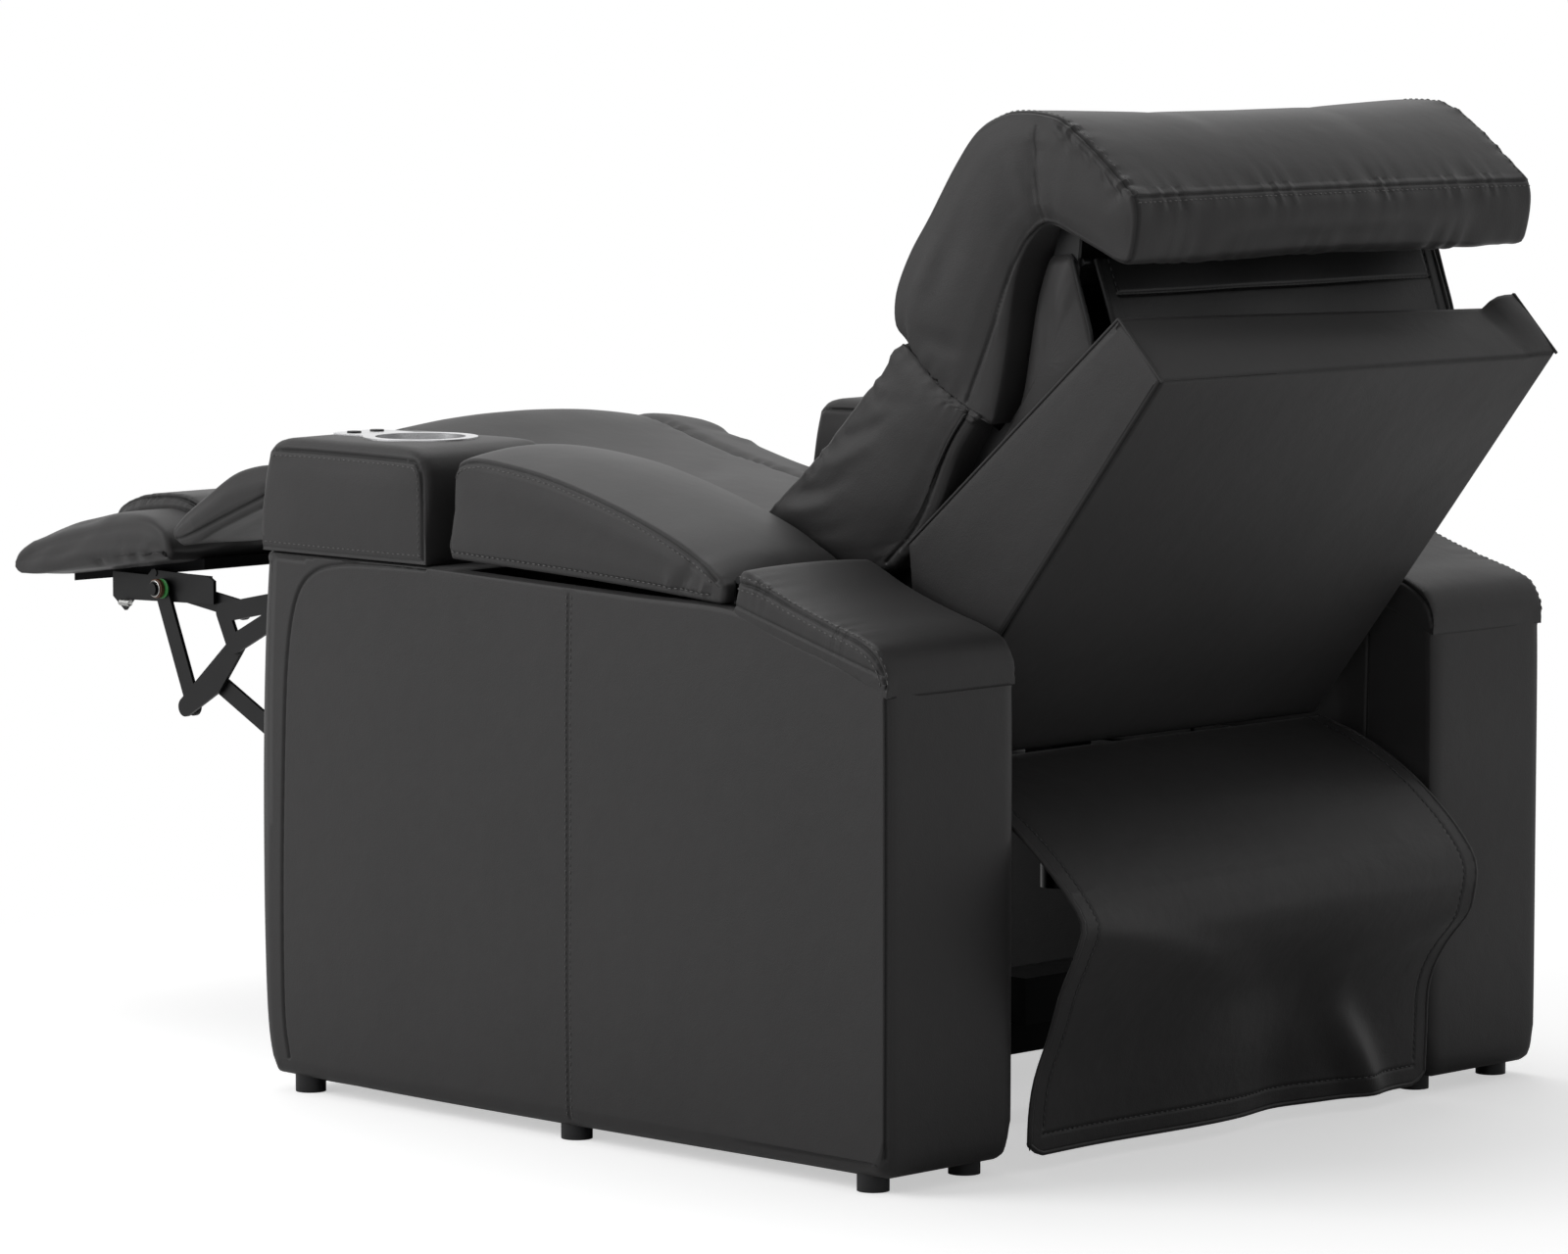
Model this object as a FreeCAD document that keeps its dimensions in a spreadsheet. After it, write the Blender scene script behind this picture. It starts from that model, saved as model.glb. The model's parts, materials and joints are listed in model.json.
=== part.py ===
import FreeCAD, Part
import math
import os
import Sketcher
from FreeCAD import Placement, Rotation, Vector

# A power recliner seat of a home cinema row, in millimetres.
# X runs across the seat, +X is the sitter's left. The front faces -Y. Z = 0 is the floor.
# The pose is the photographed one: seat forward, back reclined, legrest out.

doc = FreeCAD.newDocument("CinemaRecliner")
sheet = doc.addObject("Spreadsheet::Sheet", "Sizes")

SIZES = [
    ("seat_bay", 602.0, "clear width between the two arms"),
    ("arm_width", 169.0, "width of one arm"),
    ("arm_length", 853.0, "length of an arm, front to rear"),
    ("arm_rear", 422.0, "rear face of the arms"),
    ("arm_foot", 25.0, "height of the glides under the arms"),
    ("arm_top", 532.0, "height of the seam under the front block"),
    ("arm_wall", 15.0, "wall of the arm box"),
    ("block_height", 100.0, "front block, from its lower seam to its upper seam"),
    ("block_rear", -184.0, "rear face of the front block"),
    ("lid_gap", 30.0, "groove between the front block and the lid"),
    ("lid_rear", 217.0, "rear face of the lid"),
    ("lid_pin_radius", 3.5, "barrel of the lid hinge"),
    ("leaf_thickness", 1.7, "sheet of the lid hinge leaves"),
    ("liner_depth", 184.0, "storage liner, outside depth"),
    ("liner_wall", 3.0, "storage liner wall"),
    ("cup_bore", 44.0, "inner radius of the cup holder"),
    ("cup_depth", 72.0, "depth of the cup holder"),
    ("cup_wall", 2.5, "wall of the cup holder"),
    ("cup_centre", -283.0, "cup holder axis, front to rear"),
    ("plate_radius", 56.0, "round part of the cup holder plate"),
    ("plate_thickness", 2.5, "cup holder plate"),
    ("button_radius", 7.0, "push button"),
    ("button_travel", 1.2, "push button travel"),
    ("button_row", -362.0, "push buttons, front to rear"),
    ("glide_radius", 15.0, "glide foot"),
    ("snug", 0.3, "gap between pieces that lie beside each other"),
    ("fit", 0.08, "running clearance of a pin in its hole, on the radius"),
    ("base_plate_x", 274.0, "inner face of the base side plates"),
    ("sheet_metal", 4.0, "steel plate of the frames and links"),
    ("rail_height", 30.0, "square tube of the base rails"),
    ("rail_bottom", 60.0, "underside of the lower base rails"),
    ("track_height", 28.0, "outside height of the glide tracks"),
    ("track_depth", 10.0, "glide track, depth across"),
    ("track_wall", 2.0, "glide track wall"),
    ("roller_z", 332.0, "height of the seat rollers"),
    ("roller_front_y", -330.0, "front rollers"),
    ("roller_spacing", 230.0, "front rollers to rear rollers"),
    ("glide_travel", 180.0, "seat travel from reclined to upright"),
    ("seat_plate_x", 258.0, "inner face of the seat side plates"),
    ("layer_pitch", 5.5, "step from one link layer to the next, inwards"),
    ("cushion_gap", 9.0, "gap between the seat cushion and each arm"),
    ("back_gap", 16.0, "gap between the back box or the back cushions and each arm"),
    ("box_wall", 12.0, "wall of the back box"),
    ("pin_radius", 4.0, "link pins"),
    ("eye_radius", 10.0, "rounded ends of the links"),
    ("main_y", -594.0, "legrest main pivot on the seat"),
    ("main_z", 460.0, "legrest main pivot on the seat"),
    ("tie_y", -726.0, "pivot of the tie link on the main link"),
    ("tie_z", 434.0, "pivot of the tie link on the main link"),
    ("rise_y", -710.0, "pivot of the rise link on the main link"),
    ("rise_z", 402.0, "pivot of the rise link on the main link"),
    ("elbow_y", -793.0, "pivot of the arm link on the rise link"),
    ("elbow_z", 330.0, "pivot of the arm link on the rise link"),
    ("tip_y", -843.0, "pivot of the footrest on the arm link"),
    ("tip_z", 450.0, "pivot of the footrest on the arm link"),
    ("push_y", -745.0, "pivot of the drive link on the rise link"),
    ("push_z", 358.0, "pivot of the drive link on the rise link"),
    ("crank_y", -600.0, "crank end, where the drive link takes hold"),
    ("crank_z", 285.0, "crank end, where the drive link takes hold"),
    ("torque_y", -452.7, "torque tube axis"),
    ("torque_z", 373.4, "torque tube axis"),
    ("torque_radius", 12.7, "torque tube"),
    ("lug_radius", 60.0, "drive lug, torque axis to its pin"),
    ("back_y", 85.0, "back hinge"),
    ("back_z", 465.0, "back hinge"),
    ("head_y", 446.0, "headrest hinge"),
    ("head_z", 866.0, "headrest hinge"),
    ("flap_y", 289.0, "upper edge of the rear flap"),
    ("flap_z", 365.5, "upper edge of the rear flap"),
    ("fold_y", 490.0, "fold across the rear flap"),
    ("fold_z", 237.0, "fold across the rear flap"),
    ("flap_thickness", 4.0, "rear flap"),
    ("footrest_half", 270.0, "half width of the footrest pad"),
    ("knee_y", -612.2, "leather hinge of the knee pad"),
    ("knee_z", 565.0, "leather hinge of the knee pad"),
    ("rod_radius", 10.0, "recline actuator rod"),
    ("leg_rod_radius", 8.0, "legrest actuator rod"),
]

for row_number, (alias, value, note) in enumerate(SIZES, start=1):
    sheet.set("A%d" % row_number, note)
    sheet.set("B%d" % row_number, str(value))
    sheet.setAlias("B%d" % row_number, alias)
doc.recompute()


class Term:
    """A length: its value, and the expression on the sheet that gives it."""

    def __init__(self, value, text):
        self.value = float(value)
        self.text = text

    def __add__(self, other):
        other = term(other)
        return Term(self.value + other.value, "(%s + %s)" % (self.text, other.text))

    def __sub__(self, other):
        other = term(other)
        return Term(self.value - other.value, "(%s - %s)" % (self.text, other.text))

    def __mul__(self, other):
        other = term(other)
        return Term(self.value * other.value, "(%s * %s)" % (self.text, other.text))

    def __truediv__(self, other):
        other = term(other)
        return Term(self.value / other.value, "(%s / %s)" % (self.text, other.text))

    def __radd__(self, other):
        return term(other) + self

    def __rsub__(self, other):
        return term(other) - self

    def __rmul__(self, other):
        return term(other) * self

    def __rtruediv__(self, other):
        return term(other) / self

    def __neg__(self):
        return term(0.0) - self


def term(length):
    """A plain number becomes a term that no cell drives."""
    if isinstance(length, Term):
        return length
    if length < 0:
        return Term(length, "(0 - %.6f)" % -length)
    return Term(length, "%.6f" % length)


CELLS = {alias: Term(value, "Sizes." + alias) for alias, value, note in SIZES}


def size(alias):
    return CELLS[alias]


def spot(name):
    """The (Y, Z) place of a named pivot."""
    return size(name + "_y"), size(name + "_z")


ALONG_X = Rotation(Vector(0, 1, 0), 90)
ALONG_Y = Rotation(Vector(1, 0, 0), -90)
nodes = []


def bind(item, attribute, length):
    item.setExpression(attribute, term(length).text)


def place(item, x, y, z, turn=Rotation()):
    corner = [term(x), term(y), term(z)]
    item.Placement = Placement(Vector(*[side.value for side in corner]), turn)
    for axis, side in zip("xyz", corner):
        bind(item, "Placement.Base." + axis, side)


def keep(item, label):
    """Name a finished sub-part and list it for export."""
    item.Label = label
    nodes.append(item)
    return item


def box(name, x_from, x_to, y_from, y_to, z_from, z_to):
    item = doc.addObject("Part::Box", name)
    bind(item, "Length", term(x_to) - x_from)
    bind(item, "Width", term(y_to) - y_from)
    bind(item, "Height", term(z_to) - z_from)
    place(item, x_from, y_from, z_from)
    return item


def cylinder(name, radius, length, x, y, z, turn):
    item = doc.addObject("Part::Cylinder", name)
    bind(item, "Radius", radius)
    bind(item, "Height", length)
    place(item, x, y, z, turn)
    return item


def rod_x(name, x_from, x_to, centre, radius):
    y, z = centre
    return cylinder(name, radius, term(x_to) - x_from, x_from, y, z, ALONG_X)


def rod_y(name, y_from, y_to, x, z, radius):
    return cylinder(name, radius, term(y_to) - y_from, x, y_from, z, ALONG_Y)


def rod_z(name, z_from, z_to, x, y, radius):
    return cylinder(name, radius, term(z_to) - z_from, x, y, z_from, Rotation())


def fuse(name, items):
    item = doc.addObject("Part::MultiFuse", name)
    item.Shapes = items
    return item


def cut(name, base, tool):
    item = doc.addObject("Part::Cut", name)
    item.Base = base
    item.Tool = tool
    return item


def mirrored(name, source):
    item = doc.addObject("Part::Mirroring", name)
    item.Source = source
    item.Normal = Vector(1, 0, 0)
    return item


def group(name, items):
    item = doc.addObject("Part::Compound", name)
    item.Links = items
    return item


def both_sides(name, source):
    """The left piece and its mirror image, as one node of two solids."""
    return group(name, [source, mirrored(name + "_mirror", source)])


def side_sketch(body, name, x_from):
    """A sketch in the body's YZ plane, moved along X."""
    plane = [item for item in body.Origin.OriginFeatures if item.Role == "YZ_Plane"][0]
    sketch = body.newObject("Sketcher::SketchObject", name)
    sketch.AttachmentSupport = [(plane, "")]
    sketch.MapMode = "FlatFace"
    bind(sketch, "AttachmentOffset.Base.z", x_from)
    return sketch


def pin_down(sketch, line, end, place_on_sheet):
    """Fix one end of a line, or the centre of an arc, at its (Y, Z)."""
    for kind, length in zip(("DistanceX", "DistanceY"), place_on_sheet):
        rule = sketch.addConstraint(Sketcher.Constraint(kind, -1, 1, line, end, term(length).value))
        sketch.setExpression("Constraints[%d]" % rule, term(length).text)


def profile(name, x_from, thickness, corners, holes=()):
    """A plate or block: a closed outline in Y and Z, with round holes, padded along X."""
    body = doc.addObject("PartDesign::Body", name)
    sketch = side_sketch(body, name + "_outline", x_from)
    flat = [Vector(term(y).value, term(z).value, 0) for y, z in corners]
    for start, end in zip(flat, flat[1:] + flat[:1]):
        sketch.addGeometry(Part.LineSegment(start, end), False)
    count = len(flat)
    for line in range(count):
        sketch.addConstraint(Sketcher.Constraint("Coincident", line, 2, (line + 1) % count, 1))
    for line, corner in enumerate(corners):
        pin_down(sketch, line, 1, corner)
    for number, (y, z, radius) in enumerate(holes):
        centre = Vector(term(y).value, term(z).value, 0)
        circle = Part.Circle(centre, Vector(0, 0, 1), term(radius).value)
        sketch.addGeometry(circle, False)
        pin_down(sketch, count + number, 3, (y, z))
        rule = sketch.addConstraint(Sketcher.Constraint("Radius", count + number, term(radius).value))
        sketch.setExpression("Constraints[%d]" % rule, term(radius).text)
    pad = body.newObject("PartDesign::Pad", name + "_pad")
    pad.Profile = sketch
    bind(pad, "Length", thickness)
    body.Tip = pad
    return body


def bar(name, x_from, thickness, first, second, radius):
    """A flat bar with round ends, from one pivot to the other, padded along X."""
    body = doc.addObject("PartDesign::Body", name)
    sketch = side_sketch(body, name + "_outline", x_from)
    ends = [Vector(y.value, z.value, 0) for y, z in (first, second)]
    lean = math.atan2(ends[1].y - ends[0].y, ends[1].x - ends[0].x)
    half = term(radius).value
    side = Vector(-math.sin(lean), math.cos(lean), 0) * half
    quarter = math.pi / 2
    up = Vector(0, 0, 1)
    arcs = [(ends[0], lean + quarter, lean + 3 * quarter), (ends[1], lean - quarter, lean + quarter)]
    for centre, start, stop in arcs:
        sketch.addGeometry(Part.ArcOfCircle(Part.Circle(centre, up, half), start, stop), False)
    sketch.addGeometry(Part.LineSegment(ends[1] + side, ends[0] + side), False)
    sketch.addGeometry(Part.LineSegment(ends[0] - side, ends[1] - side), False)
    for joined in ((2, 2, 0, 1), (0, 2, 3, 1), (3, 2, 1, 1), (1, 2, 2, 1)):
        sketch.addConstraint(Sketcher.Constraint("Tangent", *joined))
    sketch.addConstraint(Sketcher.Constraint("Equal", 0, 1))
    pin_down(sketch, 0, 3, first)
    pin_down(sketch, 1, 3, second)
    rule = sketch.addConstraint(Sketcher.Constraint("Radius", 0, half))
    sketch.setExpression("Constraints[%d]" % rule, term(radius).text)
    pad = body.newObject("PartDesign::Pad", name + "_pad")
    pad.Profile = sketch
    bind(pad, "Length", thickness)
    body.Tip = pad
    return body


def strip_outline(path, thickness):
    """The outline of a bent sheet whose middle line follows the path."""
    half = thickness / 2
    upper = []
    lower = []
    for number, (y, z) in enumerate(path):
        before = path[max(number - 1, 0)]
        after = path[min(number + 1, len(path) - 1)]
        lean_in = math.atan2(z - before[1], y - before[0]) if number else None
        lean_out = math.atan2(after[1] - z, after[0] - y) if number < len(path) - 1 else lean_in
        lean_in = lean_out if lean_in is None else lean_in
        turn = math.remainder(lean_out - lean_in, 2 * math.pi)
        reach = half / math.cos(turn / 2)
        lean = lean_in + turn / 2
        upper.append((y - reach * math.sin(lean), z + reach * math.cos(lean)))
        lower.append((y + reach * math.sin(lean), z - reach * math.cos(lean)))
    return lower + upper[::-1]


def numbers(points):
    return [(term(y).value, term(z).value) for y, z in points]


# Soft solids: one outline in Y and Z, thinned towards the sides and dipped at the seams.

def stations(half, seams):
    """Places across a cushion, from side to side, with three at each seam."""
    marks = [0.0, 0.45 * half, 0.75 * half, 0.9 * half, 0.97 * half, half]
    for seam in seams:
        marks += [seam - 9.0, seam, seam + 9.0]
    marks = sorted(set(round(mark, 3) for mark in marks))
    return [-mark for mark in reversed(marks) if mark > 0] + marks


def soft(name, outline, base, half, crown, pinch, shorten=0.0, seams=(), dip=0.0, middle=0.0):
    """A crowned closed form. Heights are measured from the base line and fall off with X."""
    outline = numbers(outline)
    (base_y, base_z), (end_y, end_z) = numbers(base)
    lean = math.atan2(end_z - base_z, end_y - base_y)
    along = [(y - base_y) * math.cos(lean) + (z - base_z) * math.sin(lean) for y, z in outline]
    above = [(z - base_z) * math.cos(lean) - (y - base_y) * math.sin(lean) for y, z in outline]
    centre = (min(along) + max(along)) / 2
    reach = (max(along) - min(along)) / 2
    wires = []
    for x in stations(half, seams):
        share = abs(x) / half
        flat = 1 - crown * share ** 2 - pinch * share ** 10
        if any(abs(abs(x) - seam) < 0.01 for seam in seams):
            flat -= dip
        points = []
        for run, height in zip(along, above):
            run = centre + (run - centre) * (1 - shorten * share ** 8 / reach)
            height *= flat
            y = base_y + run * math.cos(lean) - height * math.sin(lean)
            z = base_z + run * math.sin(lean) + height * math.cos(lean)
            points.append(Vector(middle + x, y, z))
        wires.append(Part.makePolygon(points + points[:1]))
    shape = Part.makeLoft(wires, True, True)
    if shape.Volume < 0:
        shape.reverse()
    item = doc.addObject("Part::Feature", name)
    item.Shape = shape
    return item


# Places that several sub-parts share.
bay = size("seat_bay") / 2
cushion_half = bay - size("cushion_gap")
back_half = bay - size("back_gap")
arm_outer = bay + size("arm_width")
arm_middle = bay + size("arm_width") / 2
arm_front = size("arm_rear") - size("arm_length")
lid_front = size("block_rear") + size("lid_gap")
rim_drop = 11.0
rim_rear_drop = 66.0
liner_top = size("arm_top") - 18.0
metal = size("sheet_metal")
snug = size("snug")
pin = size("pin_radius")
pin_hole = pin + size("fit")
plate_outer = size("seat_plate_x") + metal


def layer(number):
    """Inner face of a link layer: 1 lies next to the seat side plate, 6 is the innermost."""
    return size("seat_plate_x") - size("layer_pitch") * number


# Arms

def make_arm_box():
    """A hollow upholstered box with ledges for the storage liner."""
    top = size("arm_top")
    corners = [
        (arm_front + 17, size("arm_foot")),
        (arm_front + 3, size("arm_foot") + 65),
        (arm_front, size("arm_foot") + 255),
        (arm_front + 11, top),
        (size("block_rear"), top),
        (lid_front, top - 6),
        (size("lid_rear") + 5, top - rim_drop),
        (size("arm_rear"), top - rim_rear_drop),
        (size("arm_rear"), size("arm_foot")),
    ]
    shell = profile("arm_shell", bay, size("arm_width"), corners)
    wall = size("arm_wall")
    cavity = box("arm_cavity", bay + wall, arm_outer - wall, arm_front + wall + 17,
                 size("arm_rear") - wall, size("arm_foot") + wall, top + 10)
    hollow = cut("arm_hollow", shell, cavity)
    ledge_top = liner_top - size("liner_depth")
    ledges = [box("liner_ledge_%d" % number, bay + wall, arm_outer - wall, y, y + 25.0,
                  ledge_top - 18, ledge_top)
              for number, y in enumerate((lid_front + 40, size("lid_rear") - 70))]
    return fuse("arm_box", [hollow] + ledges)


def plate_top():
    """Height of the cup holder plate: it lies on the crown of the front block."""
    return size("arm_top") + size("block_height") + 12.0


def make_front_block():
    """The padded block in front of the lid, bored for the cup holder."""
    top = size("arm_top") + size("block_height")
    bottom = size("arm_top") + snug
    outline = [
        (arm_front + 11, bottom), (arm_front + 2, bottom + 30), (arm_front + 5, bottom + 70),
        (arm_front + 13, top - 6), (arm_front + 24, top + 6), (arm_front + 43, top + 12),
        (size("block_rear") - 30, top + 12), (size("block_rear") - 12, top + 8),
        (size("block_rear") - 3, top - 3), (size("block_rear"), top - 25),
        (size("block_rear"), bottom),
    ]
    base = [(arm_front, bottom), (size("block_rear"), bottom)]
    pad = soft("front_block_pad", outline, base, (size("arm_width") / 2).value, 0.02, 0.08,
               shorten=8.0, middle=arm_middle.value)
    bore = rod_z("cup_bore_cut", plate_top() - size("cup_depth") - size("cup_wall") - snug,
                 plate_top() + 40, arm_middle, size("cup_centre"), cup_outer() + snug)
    wells = [rod_z("button_well_cut_%d" % number, plate_top() - 14, plate_top() + 40,
                   arm_middle + offset, size("button_row"), size("button_radius") + 2)
             for number, offset in enumerate(button_offsets)]
    face = box("plate_seat_cut", bay, arm_outer, arm_front - 20, size("block_rear") + 20,
               plate_top(), plate_top() + 40)
    return cut("front_block", pad, fuse("front_block_cuts", [bore, face] + wells))


button_offsets = (-15.0, 15.0)


def cup_outer():
    return size("cup_bore") + size("cup_wall")


def make_cup_holder():
    """Metal cup with a long plate that carries the push buttons at its front."""
    low = plate_top()
    high = low + size("plate_thickness")
    front = size("button_row") - 2
    wide = size("plate_radius")
    plate = fuse("cup_plate", [
        rod_z("cup_plate_round", low, high, arm_middle, size("cup_centre"), wide),
        box("cup_plate_tab", arm_middle - 34, arm_middle + 34, front, size("cup_centre"), low, high),
        rod_z("cup_plate_left", low, high, arm_middle - 16, front, 18.0),
        rod_z("cup_plate_right", low, high, arm_middle + 16, front, 18.0),
    ])
    bottom = low - size("cup_depth") - size("cup_wall")
    cup = rod_z("cup_outside", bottom, low, arm_middle, size("cup_centre"), cup_outer())
    inside = rod_z("cup_inside", bottom + size("cup_wall"), high + 5, arm_middle,
                   size("cup_centre"), size("cup_bore"))
    holes = [rod_z("button_hole_%d" % number, low - 5, high + 5, arm_middle + offset,
                   size("button_row"), size("button_radius") + 0.2)
             for number, offset in enumerate(button_offsets)]
    return cut("cup_holder", fuse("cup_body", [plate, cup]), fuse("cup_cuts", [inside] + holes))


def make_button(number):
    """Push button: a cap on a wider foot that the plate holds in."""
    low = plate_top()
    high = low + size("plate_thickness")
    x = arm_middle + button_offsets[number]
    cap = rod_z("button_cap_%d" % number, low - 1, high + size("button_travel") + 0.4, x,
                size("button_row"), size("button_radius"))
    foot = rod_z("button_foot_%d" % number, low - 5, low - 0.3, x, size("button_row"),
                 size("button_radius") + 1.2)
    return fuse("button_%d" % number, [cap, foot])


def make_rear_block():
    """The padded wedge behind the lid."""
    top = size("arm_top")
    front = size("lid_rear") + 11
    rear = size("arm_rear") - 2
    slope = (rim_rear_drop - rim_drop) / (size("arm_rear") - size("lid_rear") - 5)
    rim_front = top - rim_drop - slope * (front - size("lid_rear") - 5)
    rim_rear = top - rim_drop - slope * (rear - size("lid_rear") - 5)
    outline = [
        (front, rim_front + snug), (front, top + 16), (front + 6, top + 23), (front + 24, top + 21),
        (rear - 130, top + 8), (rear - 52, top - 10), (rear - 24, top - 24),
        (rear - 4, top - 50), (rear, rim_rear + snug),
    ]
    base = [(front, rim_front + snug), (rear, rim_rear + snug)]
    return soft("rear_block", outline, base, (size("arm_width") / 2).value, 0.06, 0.2,
                shorten=3.0, middle=arm_middle.value)


def hinge_line():
    """The lid hinge lies in the groove between the lid and the rear block."""
    return size("lid_rear") + 5.5, size("arm_top") + 13


def make_lid():
    """The padded lid of the storage compartment."""
    top = size("arm_top")
    rear = size("lid_rear")
    outline = [
        (lid_front + 3, top + 8), (lid_front - 1, top + 40), (lid_front - 1, top + 92),
        (lid_front + 8, top + 108), (lid_front + 32, top + 116), (lid_front + 60, top + 114),
        (rear - 232, top + 104), (rear - 153, top + 84), (rear - 76, top + 59),
        (rear - 25, top + 34), (rear - 3, top + 15), (rear, top + 10), (rear, top - 7),
        (rear - 12, top - 9),
    ]
    base = [(lid_front, top + 8), (rear, top - 9)]
    return soft("lid", outline, base, (size("arm_width") / 2).value, 0.04, 0.1,
                shorten=2.0, middle=arm_middle.value)


def hinge_leaf(name, y_from, lengths):
    """One leaf of the lid hinge: a strip with its share of the knuckles."""
    y, z = hinge_line()
    low = z - 22
    strip = box(name + "_strip", bay + 12, arm_outer - 12, y_from, y_from + size("leaf_thickness"), low, z)
    near = size("lid_pin_radius")
    knuckles = []
    for number, (start, end) in enumerate(lengths):
        knuckles.append(rod_x("%s_knuckle_%d" % (name, number), bay + 12 + start, bay + 12 + end,
                              hinge_line(), near))
    gaps = []
    others = [(0.0, 29.0), (58.0, 87.0), (116.0, 145.0)] if lengths[0][0] > 0 else [(29.0, 58.0), (87.0, 116.0)]
    for number, (start, end) in enumerate(others):
        gaps.append(rod_x("%s_gap_%d" % (name, number), bay + 11.7 + start, bay + 12.3 + end,
                          hinge_line(), near + snug))
    return fuse(name + "_all", [cut(name + "_cut", strip, fuse(name + "_gaps", gaps))] + knuckles)


def make_liner():
    """The open box inside the arm, under the lid."""
    wall = size("arm_wall")
    bottom = liner_top - size("liner_depth")
    front = lid_front + 18
    rear = size("lid_rear") - 22
    thin = size("liner_wall")
    outside = box("liner_outside", bay + wall + snug, arm_outer - wall - snug, front, rear, bottom, liner_top)
    inside = box("liner_inside", bay + wall + snug + thin, arm_outer - wall - snug - thin,
                 front + thin, rear - thin, bottom + thin, liner_top + 10)
    return cut("liner", outside, inside)


def make_arms():
    y, z = hinge_line()
    fixed = hinge_leaf("hinge_fixed", y + 5.5 - size("leaf_thickness") - 0.1,
                       [(0.2, 28.8), (58.2, 86.8), (116.2, 144.8)])
    keep(both_sides("lid_hinge_fixed", fixed), "lid_hinge_fixed")
    pieces = [
        ("arm_box", make_arm_box()),
        ("arm_front_block", make_front_block()),
        ("arm_rear_block", make_rear_block()),
        ("arm_lid", make_lid()),
        ("lid_hinge_leaf", hinge_leaf("hinge_moving", y - 5.5 + snug, [(29.2, 57.8), (87.2, 115.8)])),
        ("storage_liner", make_liner()),
        ("cup_holder", make_cup_holder()),
        ("push_button_inner", make_button(0)),
        ("push_button_outer", make_button(1)),
    ]
    for label, piece in pieces:
        right = mirrored(label + "_right", piece)
        keep(piece, label + "_left")
        keep(right, label + "_right")


def make_glides():
    """Six round glides under each arm."""
    feet = []
    for x in (bay + 24, arm_outer - 24):
        for y in (arm_front + 50, (arm_front + size("arm_rear")) / 2, size("arm_rear") - 40):
            for side in (1, -1):
                feet.append(rod_z("glide_%d" % len(feet), 0.0, size("arm_foot"), x * side, y,
                                  size("glide_radius")))
    return keep(group("glides", feet), "glides")


# Base frame between the arms

upper_rail_front = 230.0
upper_rail_rear = 255.0
recline_z = size("roller_z")
plate_front = size("roller_front_y") - 35
plate_top_z = size("roller_z") + size("track_height") / 2


def make_base():
    low = size("rail_bottom")
    high = low + size("rail_height")
    plate = size("base_plate_x")
    rails = fuse("lower_rails", [
        box("front_rail", -bay, bay, plate_front + 15, plate_front + 45, low, high),
        box("rear_rail", -bay, bay, 180.0, 210.0, low, high),
    ])
    upper = box("upper_rail", -plate, plate, upper_rail_front, upper_rail_rear,
                recline_z - 12, plate_top_z)
    keep(group("rails_of_base", [rails, upper]), "base_rails")
    corners = [
        (plate_front, high), (plate_front + 60, high), (plate_front + 90, recline_z - 45),
        (135.0, recline_z - 45), (165.0, high), (225.0, high), (262.0, 200.0),
        (262.0, plate_top_z), (plate_front, plate_top_z),
    ]
    keep(both_sides("base_plates", profile("base_plate", plate, metal, corners)), "base_side_plates")
    rear = size("roller_front_y") + size("roller_spacing") + size("glide_travel") + 55
    thin = size("track_wall")
    track_in = plate - size("track_depth")
    channel = fuse("glide_track", [
        box("track_web", plate - thin, plate, plate_front, rear, plate_top_z - size("track_height"), plate_top_z),
        box("track_floor", track_in, plate, plate_front, rear,
            plate_top_z - size("track_height"), plate_top_z - size("track_height") + thin),
        box("track_roof", track_in, plate, plate_front, rear, plate_top_z - thin, plate_top_z),
    ])
    keep(both_sides("glide_tracks_both", channel), "glide_tracks")
    supply = box("supply_case", -110.0, 70.0, 165.0, 225.0, high, high + 45)
    keep(cut("supply", supply, box("supply_inlet", -100.0, -72.0, 213.0, 226.0, high + 12, high + 32)),
         "power_supply")


recline_tube_front = -25.0
recline_tube_rear = 185.0
drive_tube_y = -235.0


def make_recline_drive():
    """Linear actuator from the upper base rail to the seat, in line with the rollers."""
    rod = size("rod_radius")
    housing = fuse("recline_body", [
        rod_y("recline_tube", recline_tube_front, recline_tube_rear, 0.0, recline_z, rod + 6),
        box("recline_gearbox", -28.0, 28.0, recline_tube_rear, 220.0, recline_z - 27, recline_z + 28),
        rod_z("recline_motor", recline_z - 117, recline_z - 27, 0.0, 203.0, 17.0),
        box("recline_clevis", -12.0, 12.0, 220.0, upper_rail_front, recline_z - 10, recline_z + 10),
    ])
    bore = rod_y("recline_bore", recline_tube_front - 5, recline_tube_rear, 0.0, recline_z, rod + size("fit"))
    keep(cut("recline_housing", housing, bore), "recline_actuator")
    keep(rod_y("recline_rod", drive_tube_y + 10, recline_tube_front + 25, 0.0, recline_z, rod), "recline_rod")


# Seat frame, which glides on the base

front_rail_rear = -465.0
rear_rail_rear = 45.0
strap = 2.0


def cushion_floor(y):
    """Underside of the seat cushion: it falls towards the rear."""
    return 420.0 + (60.0 - y) * 80.0 / 650.0


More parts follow.
